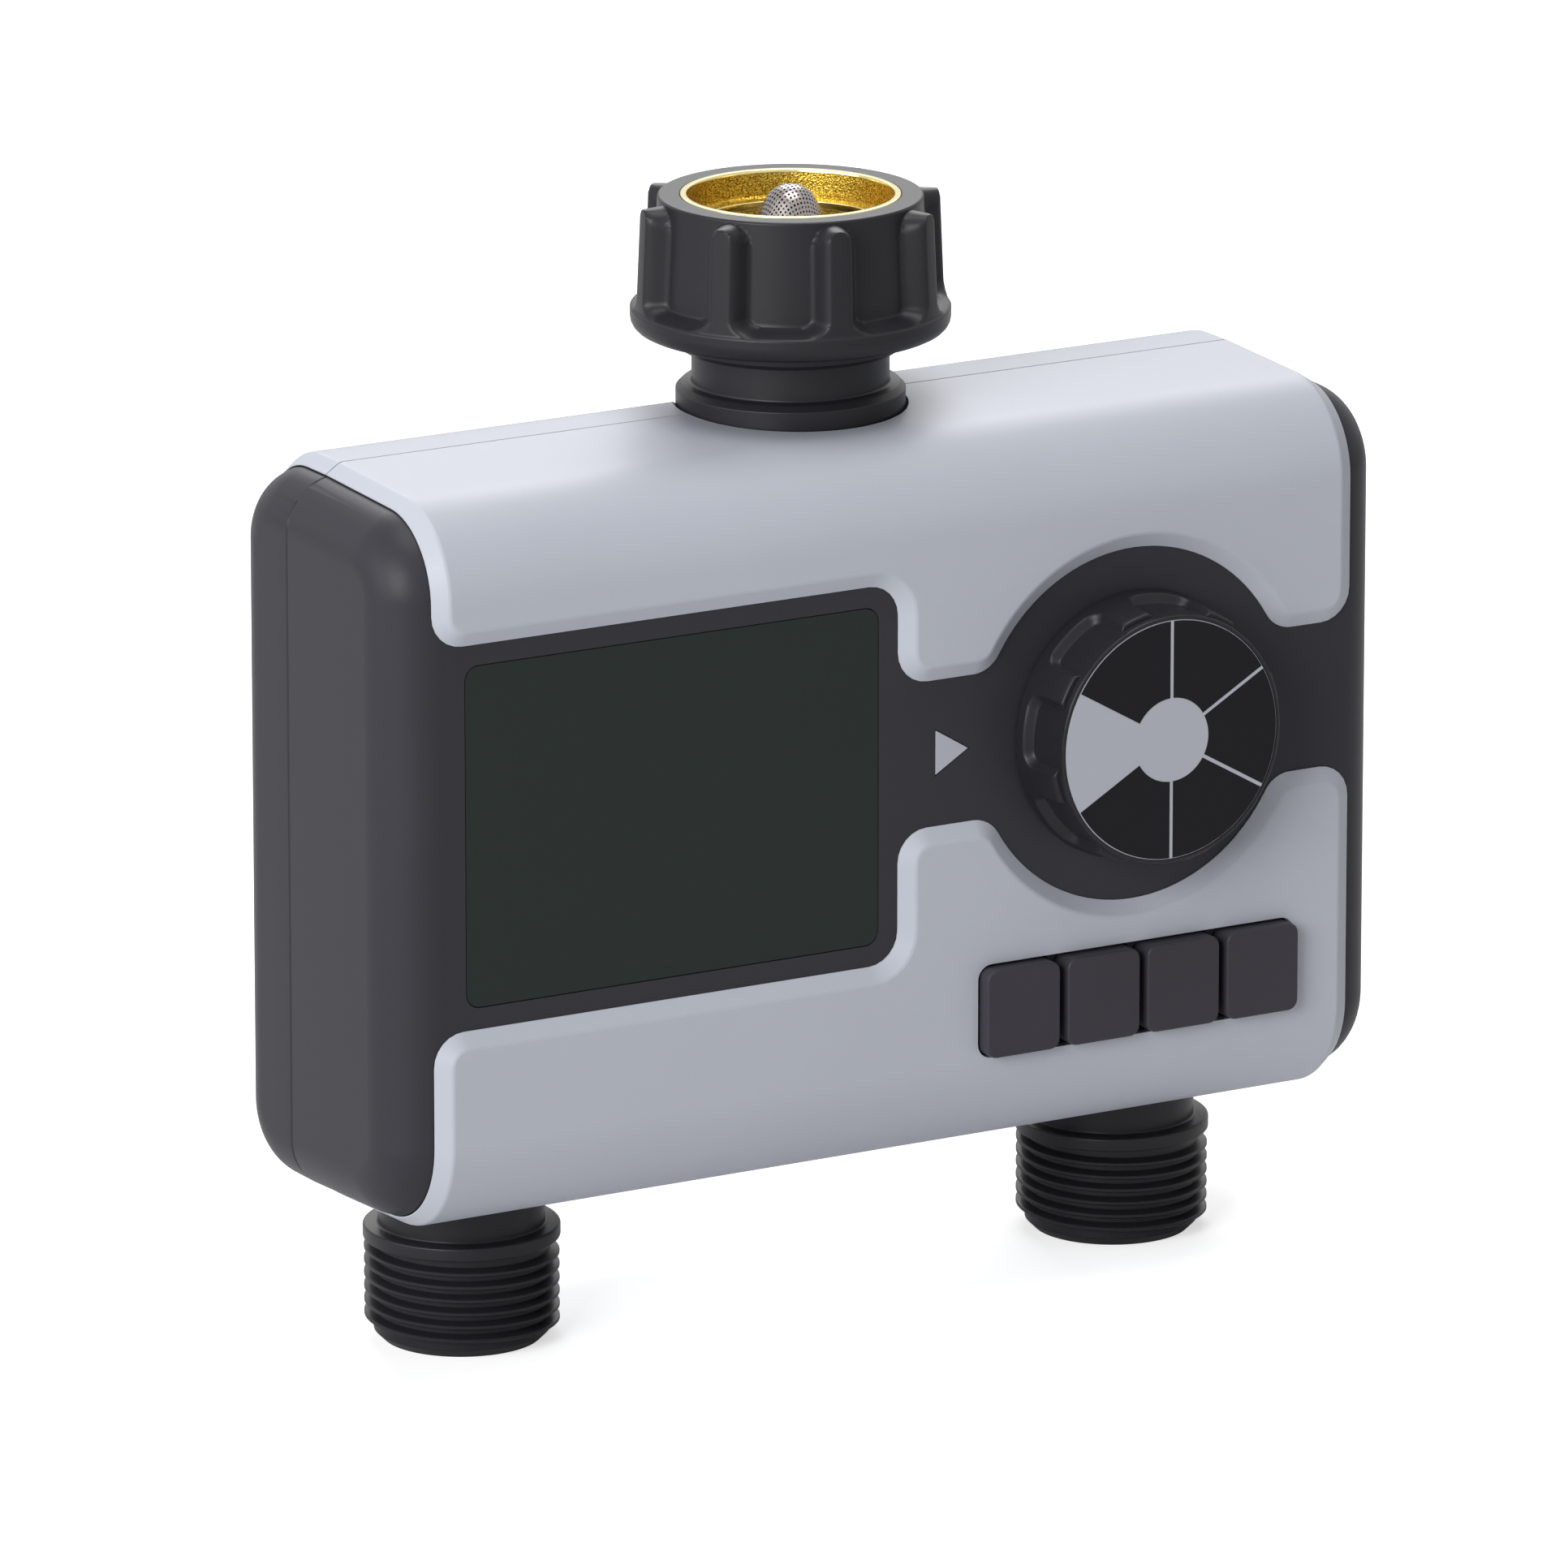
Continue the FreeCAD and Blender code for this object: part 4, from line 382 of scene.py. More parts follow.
@dataclass
class Workpiece:
    """One mesh on the bench, worked with Blender's own mesh operators. Places are in millimetres.

    Attributes:
        obj: The object that holds the mesh.
    """

    obj: bpy.types.Object

    @classmethod
    def loop(cls, name: str, places: Sequence[Sequence[float]], filled: bool = True) -> "Workpiece":
        """Start from a circle whose corners are set on given places.

        Args:
            name: Name of the new object.
            places: Corners in order, X, Y and Z.
            filled: Whether the loop holds a face.

        Returns:
            The new workpiece.
        """
        set_down()
        bpy.ops.mesh.primitive_circle_add(vertices=len(places), fill_type="NGON" if filled else "NOTHING")
        obj = bpy.context.active_object
        obj.name = obj.data.name = name
        obj.data.vertices.foreach_set("co", (np.array(places, dtype=float) * MM).ravel())
        return cls(obj)

    @classmethod
    def cube(cls, name: str, low: Sequence[float], high: Sequence[float]) -> "Workpiece":
        """Start from a cube between two corners.

        Args:
            name: Name of the new object.
            low: Lowest corner.
            high: Highest corner.

        Returns:
            The new workpiece.
        """
        set_down()
        middle = [(a + b) / 2 * MM for a, b in zip(low, high)]
        size = [(b - a) * MM for a, b in zip(low, high)]
        bpy.ops.mesh.primitive_cube_add(size=1, location=middle, scale=size)
        bpy.ops.object.transform_apply(location=True, rotation=True, scale=True)
        obj = bpy.context.active_object
        obj.name = obj.data.name = name
        return cls(obj)

    @classmethod
    def turned(cls, name: str, profile: Sequence[Point], steps: int = 128,
               spot: Point = (0.0, 0.0)) -> "Workpiece":
        """Spin a closed profile about an upright axis.

        Args:
            name: Name of the new object.
            profile: Radii and heights, in order round the section.
            steps: Stretches round the axis.
            spot: Where the axis stands in X and Y.

        Returns:
            The turned workpiece, closed and facing outwards.
        """
        piece = cls.loop(name, [(r, 0.0, z) for r, z in profile], filled=False)
        with piece.editing():
            bpy.ops.mesh.select_all(action="SELECT")
            bpy.ops.mesh.spin(steps=steps, angle=math.tau, center=(0, 0, 0), axis=(0, 0, 1))
            bpy.ops.mesh.select_all(action="SELECT")
            bpy.ops.mesh.remove_doubles(threshold=MERGE)
            bpy.ops.mesh.dissolve_degenerate(threshold=MERGE)
            bpy.ops.mesh.select_all(action="SELECT")
            bpy.ops.mesh.normals_make_consistent(inside=False)
        piece.shift((*spot, 0.0))
        return piece

    @contextmanager
    def editing(self) -> Iterator[None]:
        """Hold the piece in edit mode, with vertices, edges or faces selected as they were."""
        set_down()
        self.obj.select_set(True)
        bpy.context.view_layer.objects.active = self.obj
        bpy.ops.object.mode_set(mode="EDIT")
        yield
        bpy.ops.object.mode_set(mode="OBJECT")

    def places(self) -> np.ndarray:
        """Read the vertices' places.

        Returns:
            One row for each vertex, X, Y and Z in millimetres.
        """
        flat = np.empty(len(self.obj.data.vertices) * 3)
        self.obj.data.vertices.foreach_get("co", flat)
        return flat.reshape(-1, 3) / MM

    def move_to(self, places: np.ndarray) -> None:
        """Set the vertices on new places, in millimetres."""
        self.obj.data.vertices.foreach_set("co", (places * MM).ravel())
        self.obj.data.update()

    def shift(self, by: Sequence[float]) -> None:
        """Move the whole mesh, in millimetres."""
        self.move_to(self.places() + np.array(by))

    def lay_forward(self, spot: Vector) -> "Workpiece":
        """Tip a piece that was made about the upright axis, so that its top looks to the front.

        Args:
            spot: Where the new axis runs, in X and Z.

        Returns:
            The piece itself.
        """
        places = self.places()
        self.move_to(np.stack([places[:, 0] + spot.x, -places[:, 2], places[:, 1] + spot.z], axis=1))
        return self

    def _deselect(self) -> None:
        """Select no vertex, edge or face."""
        mesh = self.obj.data
        for group in (mesh.vertices, mesh.edges, mesh.polygons):
            group.foreach_set("select", np.zeros(len(group), dtype=bool))

    def select_edges(self, chosen: Callable[[Vector, Vector], bool]) -> None:
        """Select edges by their place.

        Args:
            chosen: Takes an edge's two ends, in millimetres, and says whether it is meant.
        """
        self._deselect()
        spots = self.places()
        for edge in self.obj.data.edges:
            edge.select = chosen(*(Vector(spots[k]) for k in edge.vertices))
        bpy.context.tool_settings.mesh_select_mode = (False, True, False)

    def select_faces(self, chosen: Callable[[Vector], bool]) -> None:
        """Select faces by their place.

        Args:
            chosen: Takes a face's middle, in millimetres, and says whether it is meant.
        """
        self._deselect()
        for face in self.obj.data.polygons:
            face.select = chosen(face.center / MM)
        bpy.context.tool_settings.mesh_select_mode = (False, False, True)

    def thicken(self, by: Sequence[float]) -> "Workpiece":
        """Extrude the whole sheet, and leave its new face selected.

        Args:
            by: How far, along X, Y and Z, in millimetres.

        Returns:
            The piece itself.
        """
        self.select_faces(lambda spot: True)
        with self.editing():
            bpy.ops.mesh.extrude_region_move(TRANSFORM_OT_translate={"value": [part * MM for part in by]})
        return self

    def modify(self, kind: str, **settings: object) -> "Workpiece":
        """Add a modifier and apply it.

        Args:
            kind: Blender's name of its kind.
            settings: The modifier's settings.

        Returns:
            The piece itself.
        """
        set_down()
        self.obj.select_set(True)
        bpy.context.view_layer.objects.active = self.obj
        modifier = self.obj.modifiers.new(kind.lower(), kind)
        for label, value in settings.items():
            setattr(modifier, label, value)
        bpy.ops.object.modifier_apply(modifier=modifier.name)
        return self

    def soften(self, width: float, angle: float = 28.0, segments: int = 3) -> "Workpiece":
        """Round every edge that is sharper than an angle.

        Args:
            width: Width of the rounding in millimetres.
            angle: The angle in degrees.
            segments: Stretches in the rounding.

        Returns:
            The piece itself.
        """
        return self.modify("BEVEL", width=width * MM, segments=segments, limit_method="ANGLE",
                           angle_limit=math.radians(angle), use_clamp_overlap=False, miter_outer="MITER_ARC")

    def bevel(self, width: float, segments: int) -> None:
        """Round the selected edges, by a width in millimetres."""
        with self.editing():
            bpy.ops.mesh.bevel(offset=width * MM, segments=segments, affect="EDGES", clamp_overlap=False)

    def cut(self, tool: "Workpiece") -> "Workpiece":
        """Cut another workpiece away and throw it out.

        Args:
            tool: The workpiece that gives the cut its shape.

        Returns:
            The piece itself.
        """
        self.modify("BOOLEAN", operation="DIFFERENCE", object=tool.obj, solver="EXACT")
        bpy.data.objects.remove(tool.obj)
        return self

    def join(self, other: "Workpiece") -> "Workpiece":
        """Make another workpiece part of this one.

        Args:
            other: The workpiece that is taken in.

        Returns:
            The piece itself.
        """
        set_down()
        other.obj.select_set(True)
        self.obj.select_set(True)
        bpy.context.view_layer.objects.active = self.obj
        bpy.ops.object.join()
        return self

    def merge(self, inside: bool = False) -> "Workpiece":
        """Weld vertices that meet, and turn all faces the same way.

        Args:
            inside: Whether the outermost faces are to look inwards, as on a ridge inside a bore.

        Returns:
            The piece itself.
        """
        with self.editing():
            bpy.ops.mesh.select_all(action="SELECT")
            bpy.ops.mesh.remove_doubles(threshold=MERGE)
            bpy.ops.mesh.normals_make_consistent(inside=inside)
        return self

    def done(self, body: str, slot: str, finish: Finish, *nodes: str) -> None:
        """Shade the piece, dress it and put it on its body.

        Args:
            body: The CAD body that it moves with.
            slot: The record's material slot; not used.
            finish: What it is made of.
            nodes: The CAD nodes that it stands for.
        """
        set_down()
        self.obj.select_set(True)
        bpy.context.view_layer.objects.active = self.obj
        bpy.ops.object.shade_smooth_by_angle(angle=SMOOTH)
        self.modify("WEIGHTED_NORMAL", keep_sharp=True)
        if not self.obj.data.materials:
            self.obj.data.materials.append(finish.material())
        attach(self.obj, body)
        if nodes:
            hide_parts(*nodes)
        log.info("%s: %d faces on %s", self.obj.name, len(self.obj.data.polygons), body)


# ---------------------------------------------------------------------------------------- light covers

@dataclass(frozen=True)
class Wrap:
    """The bent line that a cover follows, from the face round the corner and in to the seam.

    Attributes:
        side: -1 in front of the pipes, 1 behind them.
        way: 1 for a cover over the top, -1 for one under the casing.
        face: Distance of the face's skin from the seam.
        crest: Height of the skin at the seam, counted in the cover's own way.
        radius: Radius of the corner's skin.
        draft: Fall of the top towards the face, for each millimetre.
        count: Stretches round the corner.
    """

    side: int
    way: int
    face: float
    crest: float
    radius: float
    draft: float
    count: int = 16

    @property
    def sweep(self) -> float:
        """Angle that the corner turns through."""
        return math.pi / 2 - math.atan(self.draft)

    @property
    def centre(self) -> Point:
        """Middle of the corner, as distance from the seam and height."""
        depth = self.face - self.radius
        return depth, self.crest - self.draft * depth - self.radius * math.hypot(1, self.draft)

    @property
    def bends(self) -> list[float]:
        """Places along the line where the corner starts, runs and ends."""
        return [self.centre[1] + self.radius * self.sweep * k / self.count for k in range(self.count + 1)]

    @property
    def seam(self) -> float:
        """Place along the line where the seam is."""
        inward = self.centre[0] + self.radius * math.cos(self.sweep)
        return self.bends[-1] + inward * math.hypot(1, self.draft)

    def bend(self, flat: np.ndarray) -> np.ndarray:
        """Lay flat places round the casing.

        Args:
            flat: Places as distance across, place along the line and height over the skin.

        Returns:
            The same places in the frame.
        """
        along, over = flat[:, 1], flat[:, 2]
        depth, level = self.centre
        angle = np.clip((along - level) / self.radius, 0, self.sweep)
        before = np.minimum(along - level, 0)
        after = np.maximum(along - self.bends[-1], 0) / math.hypot(1, self.draft)
        out = depth + (self.radius + over) * np.cos(angle) - after
        up = level + before + (self.radius + over) * np.sin(angle) + after * self.draft
        return np.stack([flat[:, 0], self.side * out, self.way * up], axis=1)


@dataclass
class Covers:
    """Four light covers that wrap the casing, each cut and bevelled flat and then bent round it.

    Attributes:
        corner: Radius of the outline's corners.
        band: Dark band left open round the window.
        neck: Half the height of the dark band beside the dial.
        ring: Radius of the round cut about the dial.
        bevel: Width and depth of the bevel.
        thick: Thickness of a cover.
        crease: Rounding where bevel and skin meet.
        slot: Radius of the corners of the buttons' slot.
        rounds: Radius of the corner's skin for each node.
        front_draft: Fall of the front covers' top towards the face, for each millimetre.
        overrun: Length past the seam that is cut off once the cover is bevelled.
        drill: How far a pipe's hole reaches under and over the skin.
    """

    corner: float = 4.5
    band: float = 3.0
    neck: float = 10.15
    ring: float = 24.5
    bevel: Point = (2.1, 1.4)
    thick: float = 1.55
    crease: float = 0.35
    slot: float = 2.1
    rounds: dict[str, float] = field(default_factory=lambda: {
        "front_upper_cover": 12.8, "front_lower_cover": 13.8,
        "rear_upper_cover": 12.1, "rear_lower_cover": 12.1})
    front_draft: float = 0.04
    overrun: float = 6.0
    drill: Point = (12.0, 8.0)

    def build(self) -> None:
        """Build all four covers."""
        for node, radius in self.rounds.items():
            self._cover(node, radius)

    def _wrap(self, node: str, radius: float) -> Wrap:
        """Read a cover's bent line from its CAD node.

        Args:
            node: The CAD node.
            radius: Radius of its corner's skin.

        Returns:
            The bent line.
        """
        low, high = corners(node)
        side = -1 if low.y < -high.y else 1
        way = 1 if "upper" in node else -1
        face = -low.y if side < 0 else high.y
        crest = high.z if way > 0 else -low.z
        draft = self.front_draft if side < 0 else 0.0
        return Wrap(side, way, face, crest + draft * min(abs(low.y), abs(high.y)), radius, draft)

    def _outline(self, wrap: Wrap) -> list[Point]:
        """Draw a cover in the flat, past its seam: plain behind, stepped and notched for the dial in front.

        Args:
            wrap: The line that the cover will follow.

        Returns:
            The outline's points, distance across and place along the line.
        """
        low, high = corners("front_upper_cover")
        pane_low, pane_high = corners("lcd_window")
        dial = middle_of("dial_knob")
        hem = (pane_high.z if wrap.way > 0 else -pane_low.z) + self.band
        top = wrap.seam + self.overrun
        start = [(low.x, top, 0), (low.x, hem, self.corner)]
        if wrap.side > 0:
            return rounded([*start, (high.x, hem, self.corner), (high.x, top, 0)])
        level = wrap.way * dial.z
        notch, neck = pane_high.x + self.band, level + self.neck
        cusp = self.ring + self.corner
        reach = math.sqrt(cusp ** 2 - (self.neck + self.corner) ** 2)
        lean = math.degrees(math.atan2(self.neck + self.corner, reach))
        left, right = (dial.x - reach, neck + self.corner), (dial.x + reach, neck + self.corner)
        before = rounded([*start, (notch, hem, self.corner), (notch, neck, self.corner), (left[0], neck, 0)])
        cut = (arc(left, self.corner, -90, -lean, 6)[1:]
               + arc((dial.x, level), self.ring, 180 - lean, lean, 36)[1:]
               + arc(right, self.corner, 180 + lean, 270, 6)[1:])
        after = rounded([(right[0], neck, 0), (high.x, neck, self.corner), (high.x, top, 0), (low.x, top, 0)])
        return before + cut + after[1:-1]

    def _cover(self, node: str, radius: float) -> None:
        """Cut one cover, bevel it, bend it and open its holes.

        Args:
            node: The CAD node that it stands for.
            radius: Radius of its corner's skin.
        """
        wrap = self._wrap(node, radius)
        wide, deep = self.bevel
        piece = Workpiece.loop(f"{node}_shell", [(u, v, -self.thick) for u, v in self._outline(wrap)])
        piece.thicken((0, 0, self.thick - deep))
        rise = -deep if self._faces_down(piece) else deep
        with piece.editing():
            bpy.ops.mesh.inset(thickness=wide * MM, depth=rise * MM, use_boundary=True, use_even_offset=True)
        piece.select_edges(lambda a, b: min(a.z, b.z) > -NEAR)
        piece.bevel(self.crease, segments=3)
        self._split(piece, wrap)
        piece.move_to(wrap.bend(piece.places()))
        piece.merge()
        self._drill(piece, wrap)
        if node == "front_lower_cover":
            self._open_slot(piece, wrap)
        piece.done("housing", "cover", COVER, node)

    @staticmethod
    def _faces_down(piece: Workpiece) -> bool:
        """Whether the selected face of a piece looks down."""
        return any(face.select and face.normal.z < 0 for face in piece.obj.data.polygons)

    @staticmethod
    def _split(piece: Workpiece, wrap: Wrap) -> None:
        """Cut a flat cover across at each bend and off short of the seam.

        Args:
            piece: The flat cover.
            wrap: The line that it will follow.
        """
        gap = corners("rear_upper_cover")[0].y
        clear = 0.05
        for along in [*wrap.bends, wrap.seam - gap - clear]:
            last = along > wrap.bends[-1]
            with piece.editing():
                bpy.ops.mesh.select_all(action="SELECT")
                bpy.ops.mesh.bisect(plane_co=(0, along * MM, 0), plane_no=(0, 1, 0), use_fill=last,
                                    clear_outer=last, threshold=1e-7)

    def _drill(self, piece: Workpiece, wrap: Wrap) -> None:
        """Cut the holes that the pipes pass through.

        Args:
            piece: The bent cover.
            wrap: The line that it follows.
        """
        if wrap.way > 0:
            pipes, hole = ("inlet_spigot",), COLLAR + FIT
        else:
            pipes, hole = ("outlet_left", "outlet_right"), SHANK + FIT
        under, over = self.drill
        low, high = sorted((wrap.way * (wrap.crest - under), wrap.way * (wrap.crest + over)))
        for pipe in pipes:
            spot = middle_of(pipe)
            piece.cut(Workpiece.turned("pipe_hole", [(0, low), (hole, low), (hole, high), (0, high)], 96,
                                       (spot.x, spot.y)))

    def _open_slot(self, piece: Workpiece, wrap: Wrap) -> None:
        """Cut the slot that the four buttons stand in.

        Args:
            piece: The bent cover.
            wrap: The line that it follows.
        """
        before, past = 2.0, 4.0
        first, last = middle_of("button_1"), middle_of("button_4")
        low = (first.x - KEY_CAP[0] / 2 - FIT, first.z - KEY_CAP[1] / 2 - FIT)
        high = (last.x + KEY_CAP[0] / 2 + FIT, last.z + KEY_CAP[1] / 2 + FIT)
        outline = round_rectangle(low, high, self.slot)
        tool = Workpiece.loop("slot", [(u, -wrap.face - before, v) for u, v in outline])
        piece.cut(tool.thicken((0, before + past, 0)).merge())


# ---------------------------------------------------------------------------------------- dark casing

@dataclass
class Casing:
    """The dark casing, its window and pointer.

    Attributes:
        edge: Width of the rounding on window and pointer.
        groove: Width of the groove where the casing's halves meet.
        skin: Depth of the wall's outside, where the halves' edges are bevelled.
        on_plane: Distance within which an edge lies on the parting plane.
        pane: Radius of the window's corners.
        flat: Angle in degrees under which neighbouring faces are made one.
    """

    edge: float = 0.1
    groove: float = 0.28
    skin: float = 1.2
    on_plane: float = 0.01
    pane: float = 2.0
    flat: float = 0.4

    def build(self) -> None:
        """Build the casing's pieces."""
        for half in ("front_housing", "rear_housing"):
            self._half(half)
        self._plate("window_pane", "lcd_window", self._pane(), "window", PANE)
        self._plate("pointer_triangle", "pointer_inlay", self._pointer(), "inlay", INLAY)

    def _half(self, node: str) -> None:
        """Copy one moulded half from CAD and bevel its outer edge along the parting line.

        Args:
            node: The CAD node that it stands for.
        """
        set_down()
        source = frame["nodes"][node]
        obj = source.copy()
        obj.data = source.data.copy()
        obj.name = obj.data.name = f"{node}_shell"
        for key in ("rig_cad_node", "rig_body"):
            if key in obj:
                del obj[key]
        bpy.context.scene.collection.objects.link(obj)
        obj.data.materials.clear()
        piece = Workpiece(obj)
        with piece.editing():
            bpy.ops.mesh.select_all(action="SELECT")
            bpy.ops.mesh.remove_doubles(threshold=MERGE)
            bpy.ops.mesh.dissolve_limited(angle_limit=math.radians(self.flat))
        low, high = corners("front_housing")
        split = middle_of("inlet_spigot").y

        def parts(end: Vector) -> bool:
            """Whether an edge's end lies on the parting plane, in the outside of the casing's wall."""
            depth = min(end.x - low.x, high.x - end.x, end.z - low.z, high.z - end.z)
            return abs(end.y - split) < self.on_plane and depth < self.skin

        piece.select_edges(lambda start, end: parts(start) and parts(end))
        piece.bevel(self.groove, segments=1)
        piece.done("housing", "casing", CASING, node)

    def _pane(self) -> list[Point]:
        """Outline the window's pane."""
        low, high = corners("lcd_window")
        return round_rectangle((low.x, low.z), (high.x, high.z), self.pane)

    @staticmethod
    def _pointer() -> list[Point]:
        """Outline the pointer."""
        low, high = corners("pointer_inlay")
        return [(low.x, low.z), (high.x, (low.z + high.z) / 2), (low.x, high.z)]

    def _plate(self, name: str, node: str, points: list[Point], slot: str, finish: Finish) -> None:
        """Extrude a flat inlay through the depth of its CAD node and soften it.

        Args:
            name: Name of the piece.
            node: The CAD node that it stands for.
            points: Its outline.
            slot: The record's material slot.
            finish: What it is made of.
        """
        low, high = corners(node)
        piece = Workpiece.loop(name, [(u, low.y, v) for u, v in points])
        piece.thicken((0, high.y - low.y, 0)).merge()
        piece.soften(self.edge, angle=60, segments=2).done("housing", slot, finish, node)


# ---------------------------------------------------------------------------------------- ribbed grips

@dataclass(frozen=True)
class Ribs:
    """Rounded ribs round a turned grip, with round-cornered pockets between them.

    Attributes:
        count: Number of ribs.
        turn: Angle of one rib in degrees.
        wide: Width of a rib.
        foot: Height of the pockets' foot.
        top: Height of the ribs' half-round tops, or None where they run out at the face.
        corner: Radius of the pockets' lower corners.
        blend: Width of the soft step from rib to pocket.
        step: Height of the soft step at the pockets' foot.
        core: Radius in the pockets at their foot.
        pitch_radius: Radius at which widths are measured.
        lift: Height of the step at the ribs' tops.
        taper: Fall of the pockets' radius for each millimetre of height.
        crispness: Share of the step that runs straight, the rest being eased.
        least: Half the width that a rib's top keeps at least.
        shares: Least and greatest share that is looked for on the step round a rib's top.
        halvings: Times that the search for it is halved.
    """

    count: int
    turn: float
    wide: float
    foot: float
    top: float | None
    corner: float
    blend: float
    step: float
    core: float
    pitch_radius: float
    lift: float = 0.0
    taper: float = 0.0
    crispness: float = 0.55
    least: float = 0.05
    shares: Point = (-1.5, 6.0)
    halvings: int = 24

    def _share(self, across: np.ndarray, height: np.ndarray) -> np.ndarray:
        """Find how far places are from a rib's crest to its foot, along nested half-round tops.

        Args:
            across: Distances from the rib's middle.
            height: Heights.

        Returns:
            Shares, 0 at the start of the step and 1 at its end, and beyond both.
        """
        low, high = (np.full_like(across, share) for share in self.shares)
        for _ in range(self.halvings):
            share = (low + high) / 2
            half = np.maximum((self.wide - self.blend) / 2 + self.blend * share, self.least)
            peak = self.top + self.lift * (share - 0.5)
            outside = (across / half) ** 2 + (np.maximum(height - peak + half, 0) / half) ** 2 > 1
            low, high = np.where(outside, share, low), np.where(outside, high, share)
        return (low + high) / 2

    def press(self, places: np.ndarray, low: float) -> np.ndarray:
        """Press the pockets into a turned surface.

        Args:
            places: Places about an upright axis through the origin.
            low: Height below which nothing is pressed.

        Returns:
            The places, moved in towards the axis in the pockets.
        """
        radius = np.hypot(places[:, 0], places[:, 1])
        angle = np.degrees(np.arctan2(places[:, 1], places[:, 0])) - self.turn
        pitch = 360 / self.count
        across = np.radians(np.abs((angle + pitch / 2) % pitch - pitch / 2)) * self.pitch_radius
        height = places[:, 2]
        stretch = self.blend / self.step
        if self.top is None:
            rib = across - self.wide / 2
        else:
            rib = self.blend * (self._share(across, height) - 0.5)
        skirt = (height - self.foot) * stretch
        apart = np.maximum(self.corner, np.minimum(rib, skirt)) - np.hypot(
            np.maximum(self.corner - rib, 0), np.maximum(self.corner - skirt, 0))
        share = np.clip(apart / self.blend + 0.5, 0, 1)
        pocket = self.crispness * share + (1 - self.crispness) * ease(share)
        core = self.core - self.taper * np.maximum(height - self.foot, 0)
        moved = np.where((radius > core) & (height > low), radius + (core - radius) * pocket, radius)
        return places * np.stack([moved / radius, moved / radius, np.ones_like(radius)], axis=1)


@dataclass
class Dial:
    """Dial on the right: ribbed knob and the disc with its printed sectors.

    Attributes:
        core: Radius of the knob between its ribs, at the face.
        disc: Radius of the disc.
        hub: Radius of the light hub that the sectors leave.
        line: Width of the light lines between sectors.
        lip: Rounding of the knob's rim and of its ledge.
        ledge: Depth of the ribs' ends below the rim.
        wall: Thickness of the knob's wall.
        roof: Depth of the knob's floor below its rim.
        pan: Depth of the recess that holds the disc.
        shaft: Radius of the hole for the shaft.
        sweep: Angle of one sector in degrees.
        starts: Angles at which the dark sectors start.
        steps: Stretches round the knob.
    """

    core: float = 17.2
    disc: float = 16.6
    hub: float = 5.8
    line: float = 0.5
    lip: float = 0.3
    ledge: float = 1.2
    wall: float = 1.8
    roof: float = 2.0
    pan: float = 0.8
    shaft: float = 5.4
    sweep: int = 60
    starts: tuple[int, ...] = (-30, 30, 90, 210, 270)
    steps: int = 560

    def build(self) -> None:
        """Build the dial's pieces."""
        self._knob()
        self._disc()
        self._sectors()

    def _knob(self) -> None:
        """Turn the knob and press the pockets between its ribs."""
        low, high = corners("dial_knob")
        face, foot = -low.y, -high.y
        base = (high.x - low.x) / 2
        top = (self.core + base) / 2
        lip, row, clear = self.lip, 0.18, 0.06
        ledge, pan, roof = face - self.ledge, face - self.pan, face - self.roof
        rim, inner = self.disc + clear, self.core - self.wall
        skin = [(base - lip, foot), (base, foot + lip)]
        skin += rows((base, foot + lip), (top + 0.05, ledge - lip), row)[1:]
        skin += arc((top - lip, ledge - lip), lip, 0, 90, 4) + [(self.core + 0.01, ledge)]
        skin += arc((self.core - lip, face - lip), lip, 0, 90, 4)
        skin += [(rim, face), (rim, pan), (self.shaft, pan), (self.shaft, roof), (inner, roof), (inner, foot)]
        piece = Workpiece.turned("dial_knob_grip", skin, self.steps)
        ribs = Ribs(count=8, turn=16.0, wide=4.6, foot=foot + 2.2, top=None, corner=1.7, blend=0.8, step=0.8,
                    core=self.core - 0.05, pitch_radius=self.core)
        piece.move_to(ribs.press(piece.places(), foot + 0.4))
        piece.lay_forward(middle_of("dial_knob")).done("dial", "dial", DIAL, "dial_knob")

    def _disc(self) -> None:
        """Turn the light disc that shows as hub, lines and rim, sunk a little under its sectors."""
        low, high = corners("dial_face")
        sunk, edge = 0.03, 0.1
        back, face = -high.y, -low.y - sunk
        piece = Workpiece.turned("dial_face_disc", [(0, back), (self.disc, back), (self.disc, face - edge),
                                                    (self.disc - edge, face), (0, face)], 160)
        piece.lay_forward(middle_of("dial_knob")).done("dial", "inlay", INLAY, "dial_face")

    def _sectors(self) -> None:
        """Set the dark sectors on the disc, with a light line between neighbours."""
        face = -corners("dial_face")[0].y
        margin, deep = 0.14, 0.25
        taken = {start % 360 for start in self.starts}
        for number, start in enumerate(self.starts, start=1):
            end = start + self.sweep
            gaps = [self.line / 2 if side % 360 in taken else 0.0 for side in (start - self.sweep, end)]
            outline = []
            for radius, way in ((self.disc - margin, 1), (self.hub, -1)):
                lean = [math.degrees(gap / radius) for gap in gaps]
                outline += arc((0, 0), radius, *(start + lean[0], end - lean[1])[::way], 30)
            piece = Workpiece.loop(f"dial_sector_{number}", [(u, v, face - deep) for u, v in outline])
            piece.thicken((0, 0, deep)).merge().lay_forward(middle_of("dial_knob"))
            piece.done("dial", "dial_print", SECTOR)


